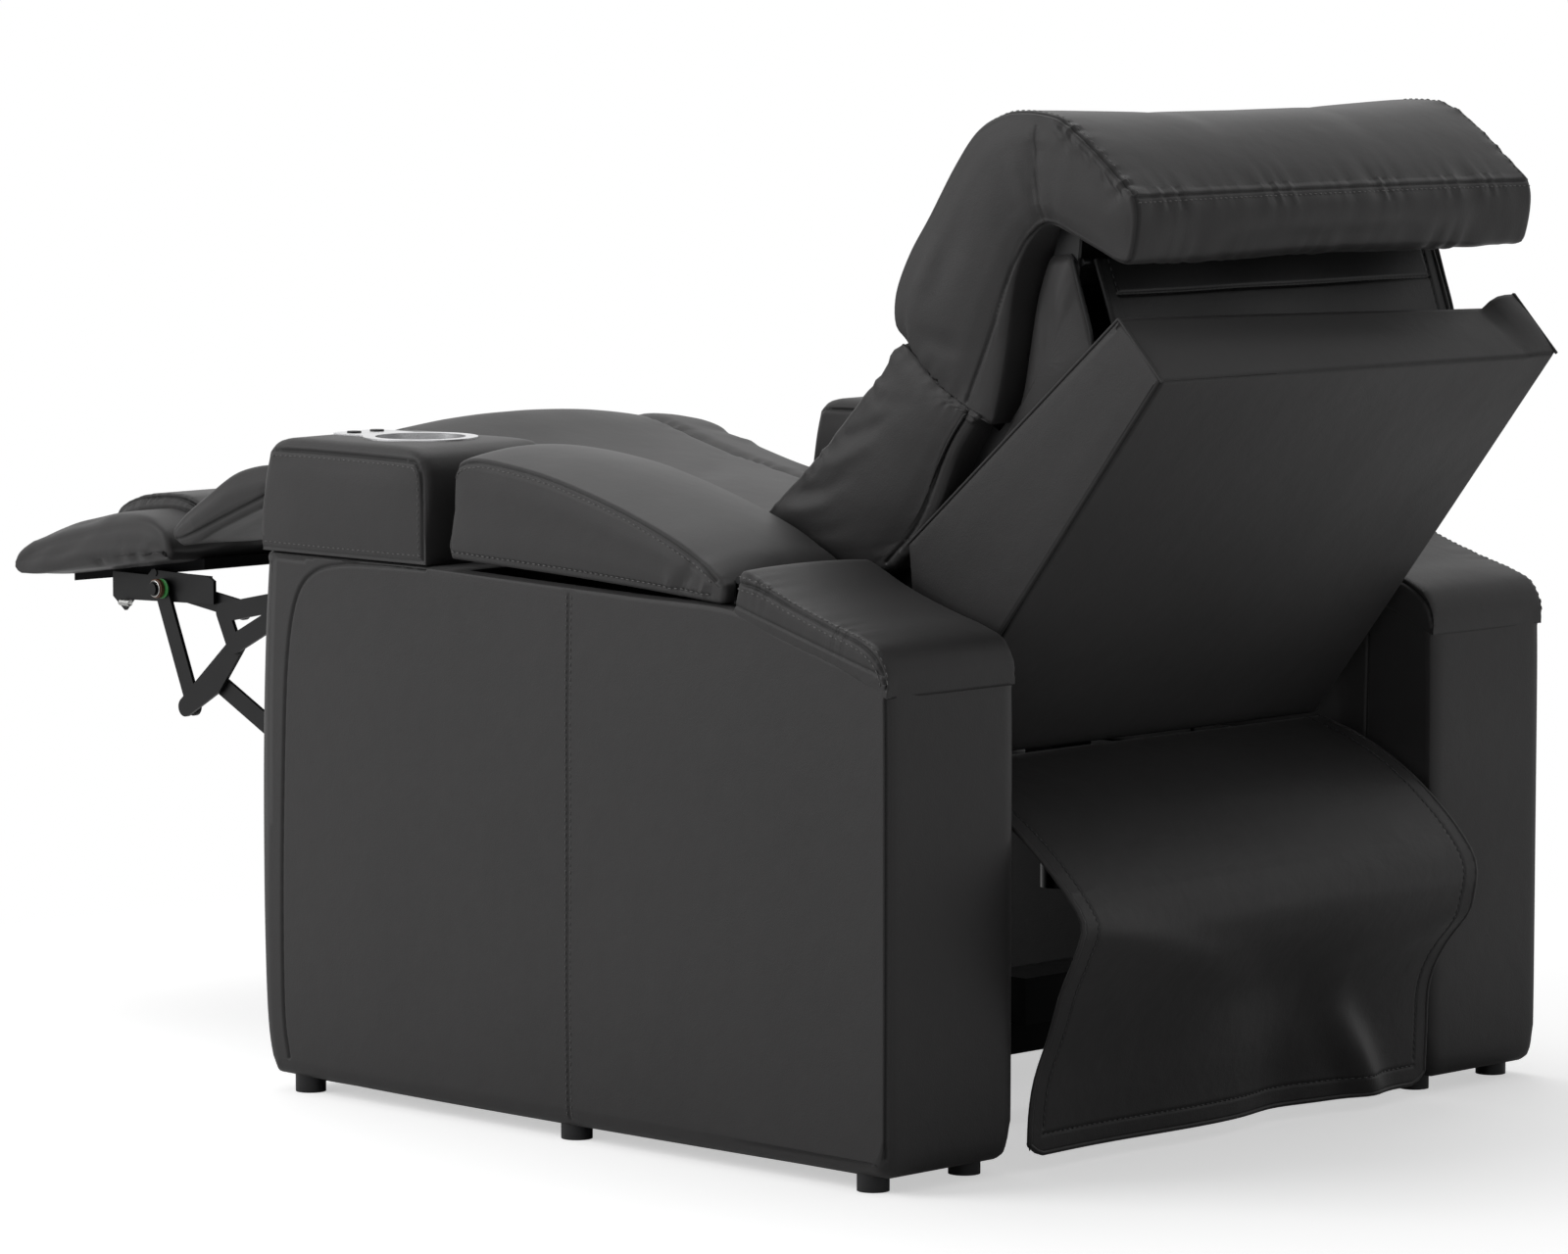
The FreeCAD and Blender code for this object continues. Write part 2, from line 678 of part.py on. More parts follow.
def make_seat_frame():
    main_y, main_z = spot("main")
    torque_y, torque_z = spot("torque")
    back_y, back_z = spot("back")
    roller_rear = size("roller_front_y") + size("roller_spacing")
    low = size("roller_z") - 20
    corners = [
        (main_y - 16, main_z - 14), (main_y - 14, main_z + 18), (main_y + 4, cushion_floor(-590.0) - 6),
        (back_y - 25, cushion_floor(60.0) - 6), (back_y - 19, cushion_floor(60.0)),
        (back_y - 19, back_z + 5), (back_y - 9, back_z + 18), (back_y + 9, back_z + 18),
        (back_y + 19, back_z + 5), (back_y + 19, back_z - 40), (back_y - 25, back_z - 80),
        (roller_rear + 30, low + 4), (roller_rear - 30, low), (size("roller_front_y") - 20, low),
        (size("roller_front_y") - 45, low + 14), (torque_y - 14, torque_z - 18),
        (torque_y - 24, torque_z - 6), (main_y + 16, main_z - 20),
    ]
    holes = [(torque_y, torque_z, 6 + size("fit"))]
    plate = profile("seat_plate", size("seat_plate_x"), metal, corners, holes)
    studs = [
        rod_x("main_stud", layer(1) - 0.5, size("seat_plate_x") + 1, spot("main"), pin),
        rod_x("main_stud_head", layer(1) - 1.6, layer(1) - 0.3, spot("main"), pin + 3),
        rod_x("main_stud_outer", plate_outer - 1, plate_outer + 1.5, spot("main"), pin + 3),
        rod_x("back_stud", size("seat_plate_x") - 9, size("seat_plate_x") + 1, spot("back"), 8.0),
        rod_x("back_stud_head", size("seat_plate_x") - 9, size("seat_plate_x") - 6.3, spot("back"), 12.0),
    ]
    track_in = size("base_plate_x") - size("track_wall")
    for number, y in enumerate((size("roller_front_y"), roller_rear)):
        studs.append(rod_x("roller_stud_%d" % number, plate_outer - 1, track_in - 1.2, (y, size("roller_z")), pin))
    keep(both_sides("seat_plates", fuse("seat_plate_left", [plate] + studs)), "seat_side_plates")
    wide = size("seat_plate_x")
    middle_front = cushion_floor(front_rail_rear) - snug.value - strap / 2
    middle_rear = cushion_floor(rear_rail_rear) - snug.value - strap / 2
    keep(group("rails_of_seat", [
        box("seat_front_rail", -wide, wide, front_rail_rear - 30, front_rail_rear,
            middle_front - strap / 2 - 25, middle_front - strap / 2),
        box("seat_drive_rail", -wide, wide, drive_tube_y - 10, drive_tube_y + 10,
            size("roller_z") - 10, size("roller_z") + 10),
        box("seat_rear_rail", -wide, wide, rear_rail_rear - 25, rear_rail_rear,
            middle_rear - strap / 2 - 25, middle_rear - strap / 2),
    ]), "seat_rails")
    path = [(front_rail_rear - 30, middle_front), (front_rail_rear, middle_front),
            (rear_rail_rear - 25, middle_rear), (rear_rail_rear, middle_rear)]
    straps = [profile("seat_strap_%d" % number, -225.0 + 80.0 * number, 50.0, strip_outline(path, strap))
              for number in range(6)]
    keep(group("seat_straps", straps), "seat_webbing")
    roller = (size("track_height") - size("track_wall") * 2) / 2 - snug
    for label, y in (("rollers_front", size("roller_front_y")), ("rollers_rear", roller_rear)):
        wheel = cut(label + "_one",
                    rod_x(label + "_disc", plate_outer + 0.6, track_in - 0.5, (y, size("roller_z")), roller),
                    rod_x(label + "_bore", plate_outer - 2, track_in - 0.2, (y, size("roller_z")), pin_hole))
        keep(both_sides(label, wheel), label)


def make_seat_cushion():
    outline = [
        (-590.0, 500.0), (-604.0, 540.0), (-609.9, 560.0), (-609.9, 574.0), (-607.0, 598.0), (-599.0, 618.0),
        (-580.0, 631.0), (-550.0, 634.0), (-510.0, 625.0), (-460.0, 611.0), (-400.0, 596.0), (-320.0, 580.0),
        (-230.0, 562.0), (-130.0, 543.0), (-30.0, 524.0), (30.0, 510.0), (54.0, 490.0), (60.0, 420.0),
    ]
    base = [(-590.0, 500.0), (60.0, 420.0)]
    keep(soft("seat_cushion", outline, base, cushion_half.value, 0.13, 0.2, shorten=6.0,
              seams=(170.0,), dip=0.05), "seat_cushion")


# Legrest

def pivot_hole(name, place_on_sheet, radius=pin_hole):
    return rod_x(name, 200.0, 290.0, place_on_sheet, radius)


def make_link(name, number, legs, holes, studs=()):
    """One link of each side, cut for the pins of its neighbours."""
    eye = size("eye_radius")
    bars = [bar("%s_bar_%d" % (name, count), layer(number), metal, spot(a), spot(b), eye)
            for count, (a, b) in enumerate(legs)]
    body = bars[0] if len(bars) == 1 else fuse(name + "_bars", bars)
    tools = [pivot_hole("%s_hole_%s" % (name, hole), spot(hole)) for hole in holes]
    body = cut(name + "_drilled", body, tools[0] if len(tools) == 1 else fuse(name + "_drills", tools))
    if studs:
        body = fuse(name + "_studded", [body] + list(studs))
    return keep(both_sides(name, body), name)


def stud(name, pivot, outer_layer, inner_layer):
    """A riveted pin from its own link through the link further in, with two heads."""
    y_z = spot(pivot)
    outer = layer(outer_layer) + metal
    inner = layer(inner_layer)
    return [
        rod_x(name + "_shank", inner - snug, outer, y_z, pin),
        rod_x(name + "_head", inner - snug - 1.4, inner - snug, y_z, pin + 3),
    ]


def make_links():
    make_link("link_main", 1, [("main", "tie"), ("main", "rise"), ("rise", "tie")], ["main"],
              stud("rise_stud", "rise", 1, 2) + stud("tie_stud", "tie", 1, 6))
    make_link("link_rise", 2, [("elbow", "push"), ("push", "rise"), ("elbow", "rise")], ["rise"],
              stud("push_stud", "push", 2, 3) + stud("elbow_stud", "elbow", 2, 4))
    make_link("link_drive", 3, [("push", "crank")], ["push", "crank"])
    make_link("link_arm", 4, [("elbow", "tip")], ["elbow", "tip"])
    make_link("link_tie", 6, [("tie", "tip")], ["tie", "tip"])


def lug_place():
    """Pin of the drive lug: it swings a quarter turn about the straight-down place."""
    y, z = spot("torque")
    swing = math.radians(45.0)
    return y - size("lug_radius") * math.sin(swing), z - size("lug_radius") * math.cos(swing)


def make_torque_tube():
    tube = rod_x("torque_bar", -layer(4), layer(4), spot("torque"), size("torque_radius"))
    parts = [tube]
    for side, start in (("left", 0), ("right", 1)):
        outer = [rod_x("torque_end_" + side, layer(4), plate_outer + 1, spot("torque"), 6.0)]
        crank = bar("crank_" + side, layer(4), metal, spot("torque"), spot("crank"), size("eye_radius"))
        outer.append(crank)
        outer.append(rod_x("crank_stub_" + side, layer(4) + metal, layer(3) - snug, spot("crank"), pin))
        whole = fuse("crank_set_" + side, outer)
        parts.append(whole if start == 0 else mirrored("crank_set_mirror", whole))
    lug = lug_place()
    for number, x in enumerate((96.0, 118.0)):
        parts.append(bar("drive_lug_%d" % number, x, 6.0, spot("torque"), lug, 11.0))
    parts.append(rod_x("drive_pin", 96.0, 124.0, lug, 5.0))
    keep(fuse("torque_tube", parts), "torque_tube")


leg_drive_x = 110.0
leg_tube_front = -385.0
leg_tube_rear = -265.0


def make_leg_drive():
    """Linear actuator between the drive rail and the lug of the torque tube."""
    lug_y, lug_z = lug_place()
    axis_z = lug_z + 2
    rod = size("leg_rod_radius")
    x = leg_drive_x
    housing = fuse("leg_drive_body", [
        rod_y("leg_drive_tube", leg_tube_front, leg_tube_rear, x, axis_z, rod + 6),
        box("leg_drive_gearbox", x - 25, x + 63, leg_tube_rear, drive_tube_y - 10, axis_z - 22, axis_z + 22),
        rod_y("leg_drive_motor", leg_tube_rear - 95, leg_tube_rear, x + 42, axis_z, 18.0),
    ])
    bore = rod_y("leg_drive_bore", leg_tube_front - 5, leg_tube_rear, x, axis_z, rod + size("fit"))
    keep(cut("leg_drive_housing", housing, bore), "legrest_actuator")
    fork = box("fork_block", x - 4, x + 4, lug_y - 15, lug_y + 15, axis_z - 32, axis_z + 20)
    slot = box("fork_slot", x - 5, x + 5, lug_y - 7.4, lug_y + 7.4, axis_z - 26, axis_z + 9)
    shaft = rod_y("leg_rod_shaft", lug_y + 14, leg_tube_front + 20, x, axis_z, rod)
    keep(fuse("leg_rod", [cut("fork", fork, slot), shaft]), "legrest_rod")


def make_ottoman():
    tip_y, tip_z = spot("tip")
    low = tip_z - 12
    corners = [
        (tip_y - 83, low - 2), (tip_y - 64, low - 16), (tip_y - 52, low - 4), (tip_y + 78, low),
        (tip_y + 78, low + 24), (tip_y + 70, low + 28), (tip_y - 20, low + 30), (tip_y - 26, low + 24),
        (tip_y - 83, low + 24),
    ]
    rail_in = layer(5)
    rail = profile("ottoman_rail", rail_in, metal, corners)
    tie_outer = layer(6) + metal
    studs = [
        rod_x("tip_axle", tie_outer + snug, layer(4) + metal + 12, spot("tip"), pin),
        rod_x("tip_disc", layer(4) + metal + 9, layer(4) + metal + 12, spot("tip"), 6.3),
        rod_x("tip_ring", layer(4) + metal + snug, layer(4) + metal + 9, spot("tip"), 8.0),
        rod_x("rail_rivet", rail_in - 1.2, rail_in + metal + 1.2, (tip_y - 15, tip_z + 15), 4.0),
    ]
    bracket = box("rail_bracket", layer(6), rail_in, tip_y - 20, tip_y + 66, tip_z + 13, tip_z + 16)
    left = fuse("ottoman_rail_left", [rail, bracket] + studs)
    keep(both_sides("ottoman_rails", left), "footrest_rails")
    board = profile("board", -layer(6), layer(6) * 2,
                    [(-1000.0, 446.5), (-790.0, 471.5), (-790.0, 483.3), (-1000.0, 457.2)])
    keep(board, "footrest_board")
    half = size("footrest_half").value
    pad = [
        (-1010.0, 456.3), (-1040.0, 455.0), (-1049.0, 460.0), (-1046.0, 474.0), (-1020.0, 492.0),
        (-971.0, 505.0), (-892.0, 520.0), (-840.0, 525.0), (-808.0, 517.0), (-795.0, 500.0),
        (-795.0, 483.2),
    ]
    keep(soft("footrest_pad", pad, [(-1010.0, 456.3), (-795.0, 483.2)], half, 0.05, 0.2, shorten=5.0),
         "footrest_pad")
    roll = [
        (-985.0, 504.0), (-978.0, 518.0), (-950.0, 531.0), (-905.0, 541.0), (-850.0, 544.0),
        (-815.0, 536.0), (-800.0, 522.3), (-812.0, 520.0), (-840.0, 526.6), (-892.0, 521.7), (-971.0, 506.6),
    ]
    keep(soft("footrest_roll", roll, [(-971.0, 506.0), (-840.0, 525.9)], 200.0, 0.1, 0.3, shorten=20.0),
         "footrest_bolster")
    spring_start = Vector((rail_in + metal + 4).value, (tip_y - 66).value, (low - 7).value)
    keep(make_spring("hook_spring", spring_start), "hook_spring")


def make_spring(name, start):
    """The small tension spring on the hook of the footrest rail: ten curls and two straight ends."""
    radius = 3.2
    wire = 0.5
    pitch = 1.6
    curls = 10
    step = Part.makeHelix(pitch, pitch * curls, radius)
    path = Part.Wire(step.Edges)
    profile_circle = Part.Circle(Vector(radius, 0, 0), Vector(0, 1, 0), wire)
    section = Part.Wire([profile_circle.toShape()])
    shape = path.makePipeShell([section], True, True)
    item = doc.addObject("Part::Feature", name)
    item.Shape = shape
    item.Placement = Placement(start, ALONG_Y)
    print("hook spring gap between curls %.2f mm" % (pitch - 2 * wire))
    return item


def make_knee_pad():
    """The padded bridge between the seat front and the footrest, on a leather hinge."""
    outline = [
        (-612.4, 563.5), (-642.0, 556.0), (-647.0, 546.0), (-700.0, 527.0), (-753.0, 508.0),
        (-778.0, 503.0), (-786.0, 507.0), (-780.0, 515.5), (-740.0, 538.0), (-690.0, 565.0),
        (-650.0, 586.0), (-640.0, 586.0), (-634.0, 574.0), (-612.4, 566.5),
    ]
    half = 268.0
    pad = soft("knee_pad_form", outline, [(-753.0, 508.0), (-612.4, 563.5)], half, 0.0, 0.25, shorten=4.0)
    edge = rod_x("knee_edge", 20 - half, half - 20, spot("knee"), 1.5)
    keep(fuse("knee_pad_all", [pad, edge]), "knee_pad")


# Back

box_corners = [(290.0, 368.0), (582.0, 735.0), (530.0, 790.0), (270.0, 570.0)]


def inner_box(wall):
    """The hollow of the back box: open at the front and below."""
    (bottom_y, bottom_z), (rear_y, rear_z), (cap_y, cap_z), front = box_corners
    lean = math.atan2(rear_z - bottom_z, rear_y - bottom_y)
    cos, sin = math.cos(lean), math.sin(lean)
    low = (bottom_y - wall * sin - 30 * cos, bottom_z + wall * cos - 30 * sin)
    corner = (rear_y - wall * sin - wall * cos, rear_z + wall * cos - wall * sin)
    cap = math.atan2(cap_z - rear_z, cap_y - rear_y)
    reach = 74.0
    high = (corner[0] + reach * math.cos(cap), corner[1] + reach * math.sin(cap))
    return [low, corner, high, (high[0] - 60, high[1] - 20), (190.0, 590.0), (190.0, 352.0)]


def make_back_box():
    half = back_half
    shell = profile("box_shell", -half, half * 2, box_corners)
    wall = size("box_wall")
    hollow = profile("box_hollow", wall - half, half * 2 - wall * 2, inner_box(wall.value))
    keep(cut("back_box", shell, hollow), "back_box")


def make_back_frame():
    back_y, back_z = spot("back")
    head_y, head_z = spot("head")
    corners = [
        (back_y - 17, back_z - 12), (back_y - 15, back_z + 14), (back_y + 5, back_z + 25), (235.0, 545.0),
        (284.0, 577.0), (317.0, 650.0), (338.0, 690.0), (360.0, 678.0), (384.0, 700.0), (393.0, 716.0),
        (404.0, 779.0),
        (head_y - 22, head_z - 32), (head_y - 11, head_z + 2), (head_y - 4, head_z + 11),
        (head_y + 6, head_z + 10), (head_y + 12, head_z - 4), (head_y + 4, head_z - 87),
        (438.0, 716.0), (400.0, 655.0), (340.0, 575.0), (290.0, 525.0),
        (back_y + 25, back_z - 20), (back_y + 5, back_z - 25),
    ]
    inner = size("seat_plate_x") - size("layer_pitch")
    side = profile("back_member", inner, metal, corners, [(back_y, back_z, 8 + size("fit"))])
    studs = [
        rod_x("head_stud", inner - 7, inner + metal, spot("head"), pin),
        rod_x("head_stud_head", inner - 7.4, inner - 6, spot("head"), pin + 3),
        rod_x("box_spacer_low", inner + metal, back_half - size("box_wall"), (305.0, 565.0), 8.0),
        rod_x("box_spacer_high", inner + metal, back_half - size("box_wall"), (385.0, 650.0), 8.0),
    ]
    left = fuse("back_side", [side] + studs)
    bars = [rod_x("back_bar_%d" % number, -inner, inner, centre, radius)
            for number, (centre, radius) in enumerate([((266.0, 561.2), 10.0), ((336.3, 681.6), 10.0),
                                                       ((400.4, 747.8), 10.0), ((412.3, 801.5), 10.0),
                                                       ((456.0, 836.0), 4.0)])]
    keep(fuse("back_frame", [left, mirrored("back_side_mirror", left)] + bars), "back_frame")
    panel = [
        (438.0, 842.0), (424.0, 838.0), (409.0, 800.0), (398.0, 744.0), (391.0, 712.0), (376.0, 676.0),
        (356.0, 655.0), (380.0, 655.0), (478.0, 744.0), (474.0, 772.0), (462.0, 808.0), (452.0, 841.0),
    ]
    keep(both_sides("back_panels", profile("back_panel", inner + metal, 2.0, panel)), "back_side_panels")
    lumbar_path = [(241.0, 554.9), (277.0, 585.1), (311.2, 654.4), (331.0, 696.5)]
    upper_path = [(371.7, 685.5), (383.7, 715.8), (394.7, 778.7), (409.6, 834.6)]
    straps = []
    for label, path in (("lumbar", lumbar_path), ("upper", upper_path)):
        straps += [profile("%s_strap_%d" % (label, number), -225.0 + 100.0 * number, 50.0,
                           strip_outline(path, strap)) for number in range(5)]
    keep(group("back_straps", straps), "back_webbing")
    sheet_path = [(461.5, 840.0), (463.5, 830.0), (489.0, 764.0), (497.0, 738.0)]
    keep(profile("neck_sheet", -240.0, 480.0, strip_outline(sheet_path, 2.4)), "neck_panel")


def make_back_cushions():
    half = back_half.value
    lumbar = [
        (62.0, 556.0), (68.0, 574.0), (107.0, 606.0), (158.0, 650.0), (215.0, 708.0), (240.0, 733.0),
        (250.0, 748.0), (262.0, 756.0), (284.0, 744.0), (334.0, 706.0), (310.0, 655.0),
        (276.0, 586.0), (240.0, 556.0), (196.0, 553.0), (120.0, 538.0), (76.0, 538.0),
    ]
    keep(soft("lumbar", lumbar, [(200.0, 553.0), (334.0, 706.0)], half, 0.04, 0.12, shorten=6.0,
              seams=(205.0,), dip=0.04), "lumbar_cushion")
    upper = [
        (254.0, 763.0), (251.0, 778.0), (252.0, 800.0), (256.0, 811.0), (428.0, 859.8), (408.0, 835.0),
        (393.0, 779.0), (382.0, 716.0), (370.0, 686.0), (354.0, 692.0), (334.4, 706.4), (284.2, 744.4), (262.2, 756.4),
    ]
    keep(soft("upper", upper, [(370.0, 686.0), (428.0, 859.8)], half, 0.03, 0.1, shorten=5.0,
              seams=(205.0,), dip=0.03), "upper_cushion")


def make_headrest():
    half = back_half.value
    outline = [
        (256.2, 811.4), (272.0, 842.0), (295.0, 874.0), (312.0, 902.0), (326.0, 920.0), (340.0, 942.0),
        (356.0, 956.0), (378.0, 968.0), (405.0, 974.0), (452.0, 970.0), (488.0, 947.0), (522.0, 921.0),
        (545.0, 899.0), (545.0, 866.0), (536.0, 845.0), (524.0, 846.0), (477.0, 859.0), (438.0, 868.0),
        (428.0, 860.2),
    ]
    pillow = soft("head_form", outline, [(256.2, 811.4), (428.0, 860.2)], half, 0.04, 0.12, shorten=4.0,
                  seams=(205.0,), dip=0.03)
    head_y, head_z = spot("head")
    inner = size("seat_plate_x") - size("layer_pitch") * 2
    mount = (head_y + 16, head_z + 30)
    cuts = []
    for side, sign in (("left", 1), ("right", -1)):
        x = inner * sign
        low = x - 3.5 if sign > 0 else x - 14
        cuts.append(box("head_slot_" + side, low, low + 17.5, head_y - 18, head_y + 31, head_z - 30, head_z + 46))
    cuts.append(rod_x("head_bar_cut", -inner, inner, mount, 6.0 + snug))
    keep(cut("headrest_cushion", pillow, fuse("head_cuts", cuts)), "headrest_cushion")
    arm = bar("head_arm", inner, metal, spot("head"), mount, 9.0)
    arm = cut("head_arm_drilled", arm, pivot_hole("head_arm_hole", spot("head")))
    keep(fuse("headrest_bracket", [arm, mirrored("head_arm_mirror", arm),
                                   rod_x("head_bar", -inner - 1, inner + 1, mount, 6.0)]), "headrest_bracket")


def make_flap():
    """The loose leather sheet that hangs from the back box to the floor, in two panels."""
    half = back_half
    thick = size("flap_thickness")
    fold_y, fold_z = spot("fold")
    flap_y, flap_z = spot("flap")
    upper_path = numbers([(flap_y, flap_z), (420.0, 309.0), (fold_y, fold_z)])
    upper = profile("flap_upper_sheet", -half, half * 2, strip_outline(upper_path, thick.value))
    edge = rod_x("flap_edge", -half, half, spot("flap"), thick / 2)
    roll = rod_x("flap_fold_roll", -half, half, spot("fold"), thick / 2)
    keep(fuse("flap_upper", [upper, edge, roll]), "flap_upper")
    lower_path = numbers([(fold_y, fold_z), (430.0, 133.0), (420.0, 15.0)])
    lower = profile("flap_lower_sheet", -half, half * 2, strip_outline(lower_path, thick.value))
    keep(cut("flap_lower", lower, rod_x("flap_fold_gap", -half - 1, half + 1, spot("fold"), thick / 2 + snug * 2)),
         "flap_lower")


def check_and_write():
    """Stop on any failed object, then write one STEP file for each sub-part."""
    doc.recompute()
    for item in doc.Objects:
        if "Invalid" in item.State or "Error" in item.State:
            raise RuntimeError("failed object: %s %s" % (item.Name, item.State))
    os.makedirs("parts", exist_ok=True)
    for item in nodes:
        shape = item.Shape
        if shape.isNull() or not shape.isValid():
            raise RuntimeError("bad shape: " + item.Label)
        shape.exportStep(os.path.join("parts", item.Label + ".step"))
        room = shape.BoundBox
        print("%-26s solids %2d  volume %10.0f  x %.0f..%.0f  y %.0f..%.0f  z %.0f..%.0f" % (
            item.Label, len(shape.Solids), shape.Volume, room.XMin, room.XMax, room.YMin, room.YMax,
            room.ZMin, room.ZMax))
    print("sub-parts:", len(nodes))


make_arms()
make_glides()
make_base()
make_recline_drive()
make_seat_frame()
make_seat_cushion()
make_links()
make_torque_tube()
make_leg_drive()
make_ottoman()
make_knee_pad()
make_back_box()
make_back_frame()
make_back_cushions()
make_headrest()
make_flap()
check_and_write()
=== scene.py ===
"""A cinema recliner seat in charcoal leather, dressed around its packed frame. Sizes in metres."""
import json
import math
import bmesh
import bpy
import numpy as np
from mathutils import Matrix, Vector
from mathutils.bvhtree import BVHTree
from mathutils.kdtree import KDTree

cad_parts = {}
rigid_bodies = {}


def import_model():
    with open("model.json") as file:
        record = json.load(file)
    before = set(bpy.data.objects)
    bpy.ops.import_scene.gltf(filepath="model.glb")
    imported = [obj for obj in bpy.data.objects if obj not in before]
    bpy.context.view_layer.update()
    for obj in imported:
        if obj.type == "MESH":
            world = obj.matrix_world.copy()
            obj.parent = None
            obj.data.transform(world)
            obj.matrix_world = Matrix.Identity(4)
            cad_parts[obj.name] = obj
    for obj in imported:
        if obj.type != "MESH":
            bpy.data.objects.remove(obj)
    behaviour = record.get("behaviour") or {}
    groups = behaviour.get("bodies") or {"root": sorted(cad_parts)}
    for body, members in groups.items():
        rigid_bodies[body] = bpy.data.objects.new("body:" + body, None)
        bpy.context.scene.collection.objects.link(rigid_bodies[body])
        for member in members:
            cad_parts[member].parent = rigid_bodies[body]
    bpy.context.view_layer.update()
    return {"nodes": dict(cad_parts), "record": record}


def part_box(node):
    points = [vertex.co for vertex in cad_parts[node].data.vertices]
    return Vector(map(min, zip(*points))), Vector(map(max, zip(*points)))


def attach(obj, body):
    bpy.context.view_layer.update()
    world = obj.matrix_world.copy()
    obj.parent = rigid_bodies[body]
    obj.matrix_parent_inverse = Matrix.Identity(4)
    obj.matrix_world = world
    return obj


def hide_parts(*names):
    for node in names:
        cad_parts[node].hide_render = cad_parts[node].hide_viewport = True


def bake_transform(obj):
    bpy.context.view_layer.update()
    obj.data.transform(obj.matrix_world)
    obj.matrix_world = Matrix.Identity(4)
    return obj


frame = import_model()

bl_info = {
    "name": "Cinema recliner seat",
    "version": (1, 0, 0),
    "blender": (4, 5, 0),
    "location": "View3D > Sidebar > Recliner",
    "description": "Upholsters a cinema recliner seat around its frame",
    "category": "Object",
}

ARM_LOW, ARM_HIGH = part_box("arm_box_left")
BACK_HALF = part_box("back_box")[1].x
LINER_LOW, LINER_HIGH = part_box("storage_liner_left")
CUP_LOW, CUP_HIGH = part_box("cup_holder_left")
SIDES = (("left", 1), ("right", -1))
# Vertex attribute that holds painted shade along the seam grooves; the leather reads it to darken its colour.
PAINTED_SEAM_SHADE = "seam"
PURE_WHITE = (1.0, 1.0, 1.0, 1.0)


def colour_setting(name, text, value):
    return bpy.props.FloatVectorProperty(name=name, description=text, subtype="COLOR", size=3, default=value)


def length_setting(name, text, value):
    return bpy.props.FloatProperty(name=name, description=text, default=value, unit="LENGTH")


def number_setting(name, text, value):
    return bpy.props.FloatProperty(name=name, description=text, default=value)


def angle_setting(name, text, degrees):
    return bpy.props.FloatProperty(name=name, description=text, default=math.radians(degrees), subtype="ANGLE")


class LeatherSettings(bpy.types.PropertyGroup):
    """Colours and surface of the leather and the thread."""
    colour: colour_setting("Leather", "Colour of the leather", (0.031, 0.030, 0.0303))
    lining: colour_setting("Lining", "Colour of the black leather behind the neck", (0.008, 0.008, 0.0083))
    thread: colour_setting("Thread", "Colour of the sewing thread", (0.075, 0.073, 0.073))
    roughness: number_setting("Roughness", "How dull the leather is", 0.5)
    grain: length_setting("Grain", "Width of a pebble of the grain", 0.0013)
    grain_height: length_setting("Grain height", "Height of the grain", 0.00012)


class SewingSettings(bpy.types.PropertyGroup):
    """Sizes of seams and stitches."""
    groove: length_setting("Groove", "Half width of a seam's groove", 0.0018)
    depth: length_setting("Depth", "Depth of a seam's groove", 0.0022)
    stitch: length_setting("Stitch", "Length of one stitch", 0.0052)
    gap: length_setting("Gap", "Gap from stitch to stitch", 0.0018)
    thread: length_setting("Thread", "Radius of the thread", 0.00055)
    row: length_setting("Row", "Distance from a seam to its stitch row", 0.0055)


class PadSettings(bpy.types.PropertyGroup):
    """How the padded pieces are filled."""
    pitch: length_setting("Pitch", "Spacing of the mesh", 0.0075)
    pressure: number_setting("Pressure", "Pressure of the filling", 4.0)
    frames: bpy.props.IntProperty(name="Frames", description="Steps of the cloth simulation", default=20)


class ViewSettings(bpy.types.PropertyGroup):
    """Camera and lamps."""
    azimuth: angle_setting("Azimuth", "Direction the camera looks from", 134.37)
    elevation: angle_setting("Elevation", "Height of the camera as an angle", 5.892)
    distance: length_setting("Distance", "Camera to target", 6.659)
    target: bpy.props.FloatVectorProperty(
        name="Target", description="What the camera looks at", size=3, default=(0.171, 0.0, 0.465))
    lens: number_setting("Lens", "Focal length", 158.37)
    key_light: number_setting("Key light", "Power of the side lamp", 82.0)
    top_light: number_setting("Top light", "Power of the top lamp", 40.0)
    room_light: number_setting("Room light", "Light from all round", 0.4)


def settings(name):
    return getattr(bpy.context.scene, "recliner_" + name)


# Materials

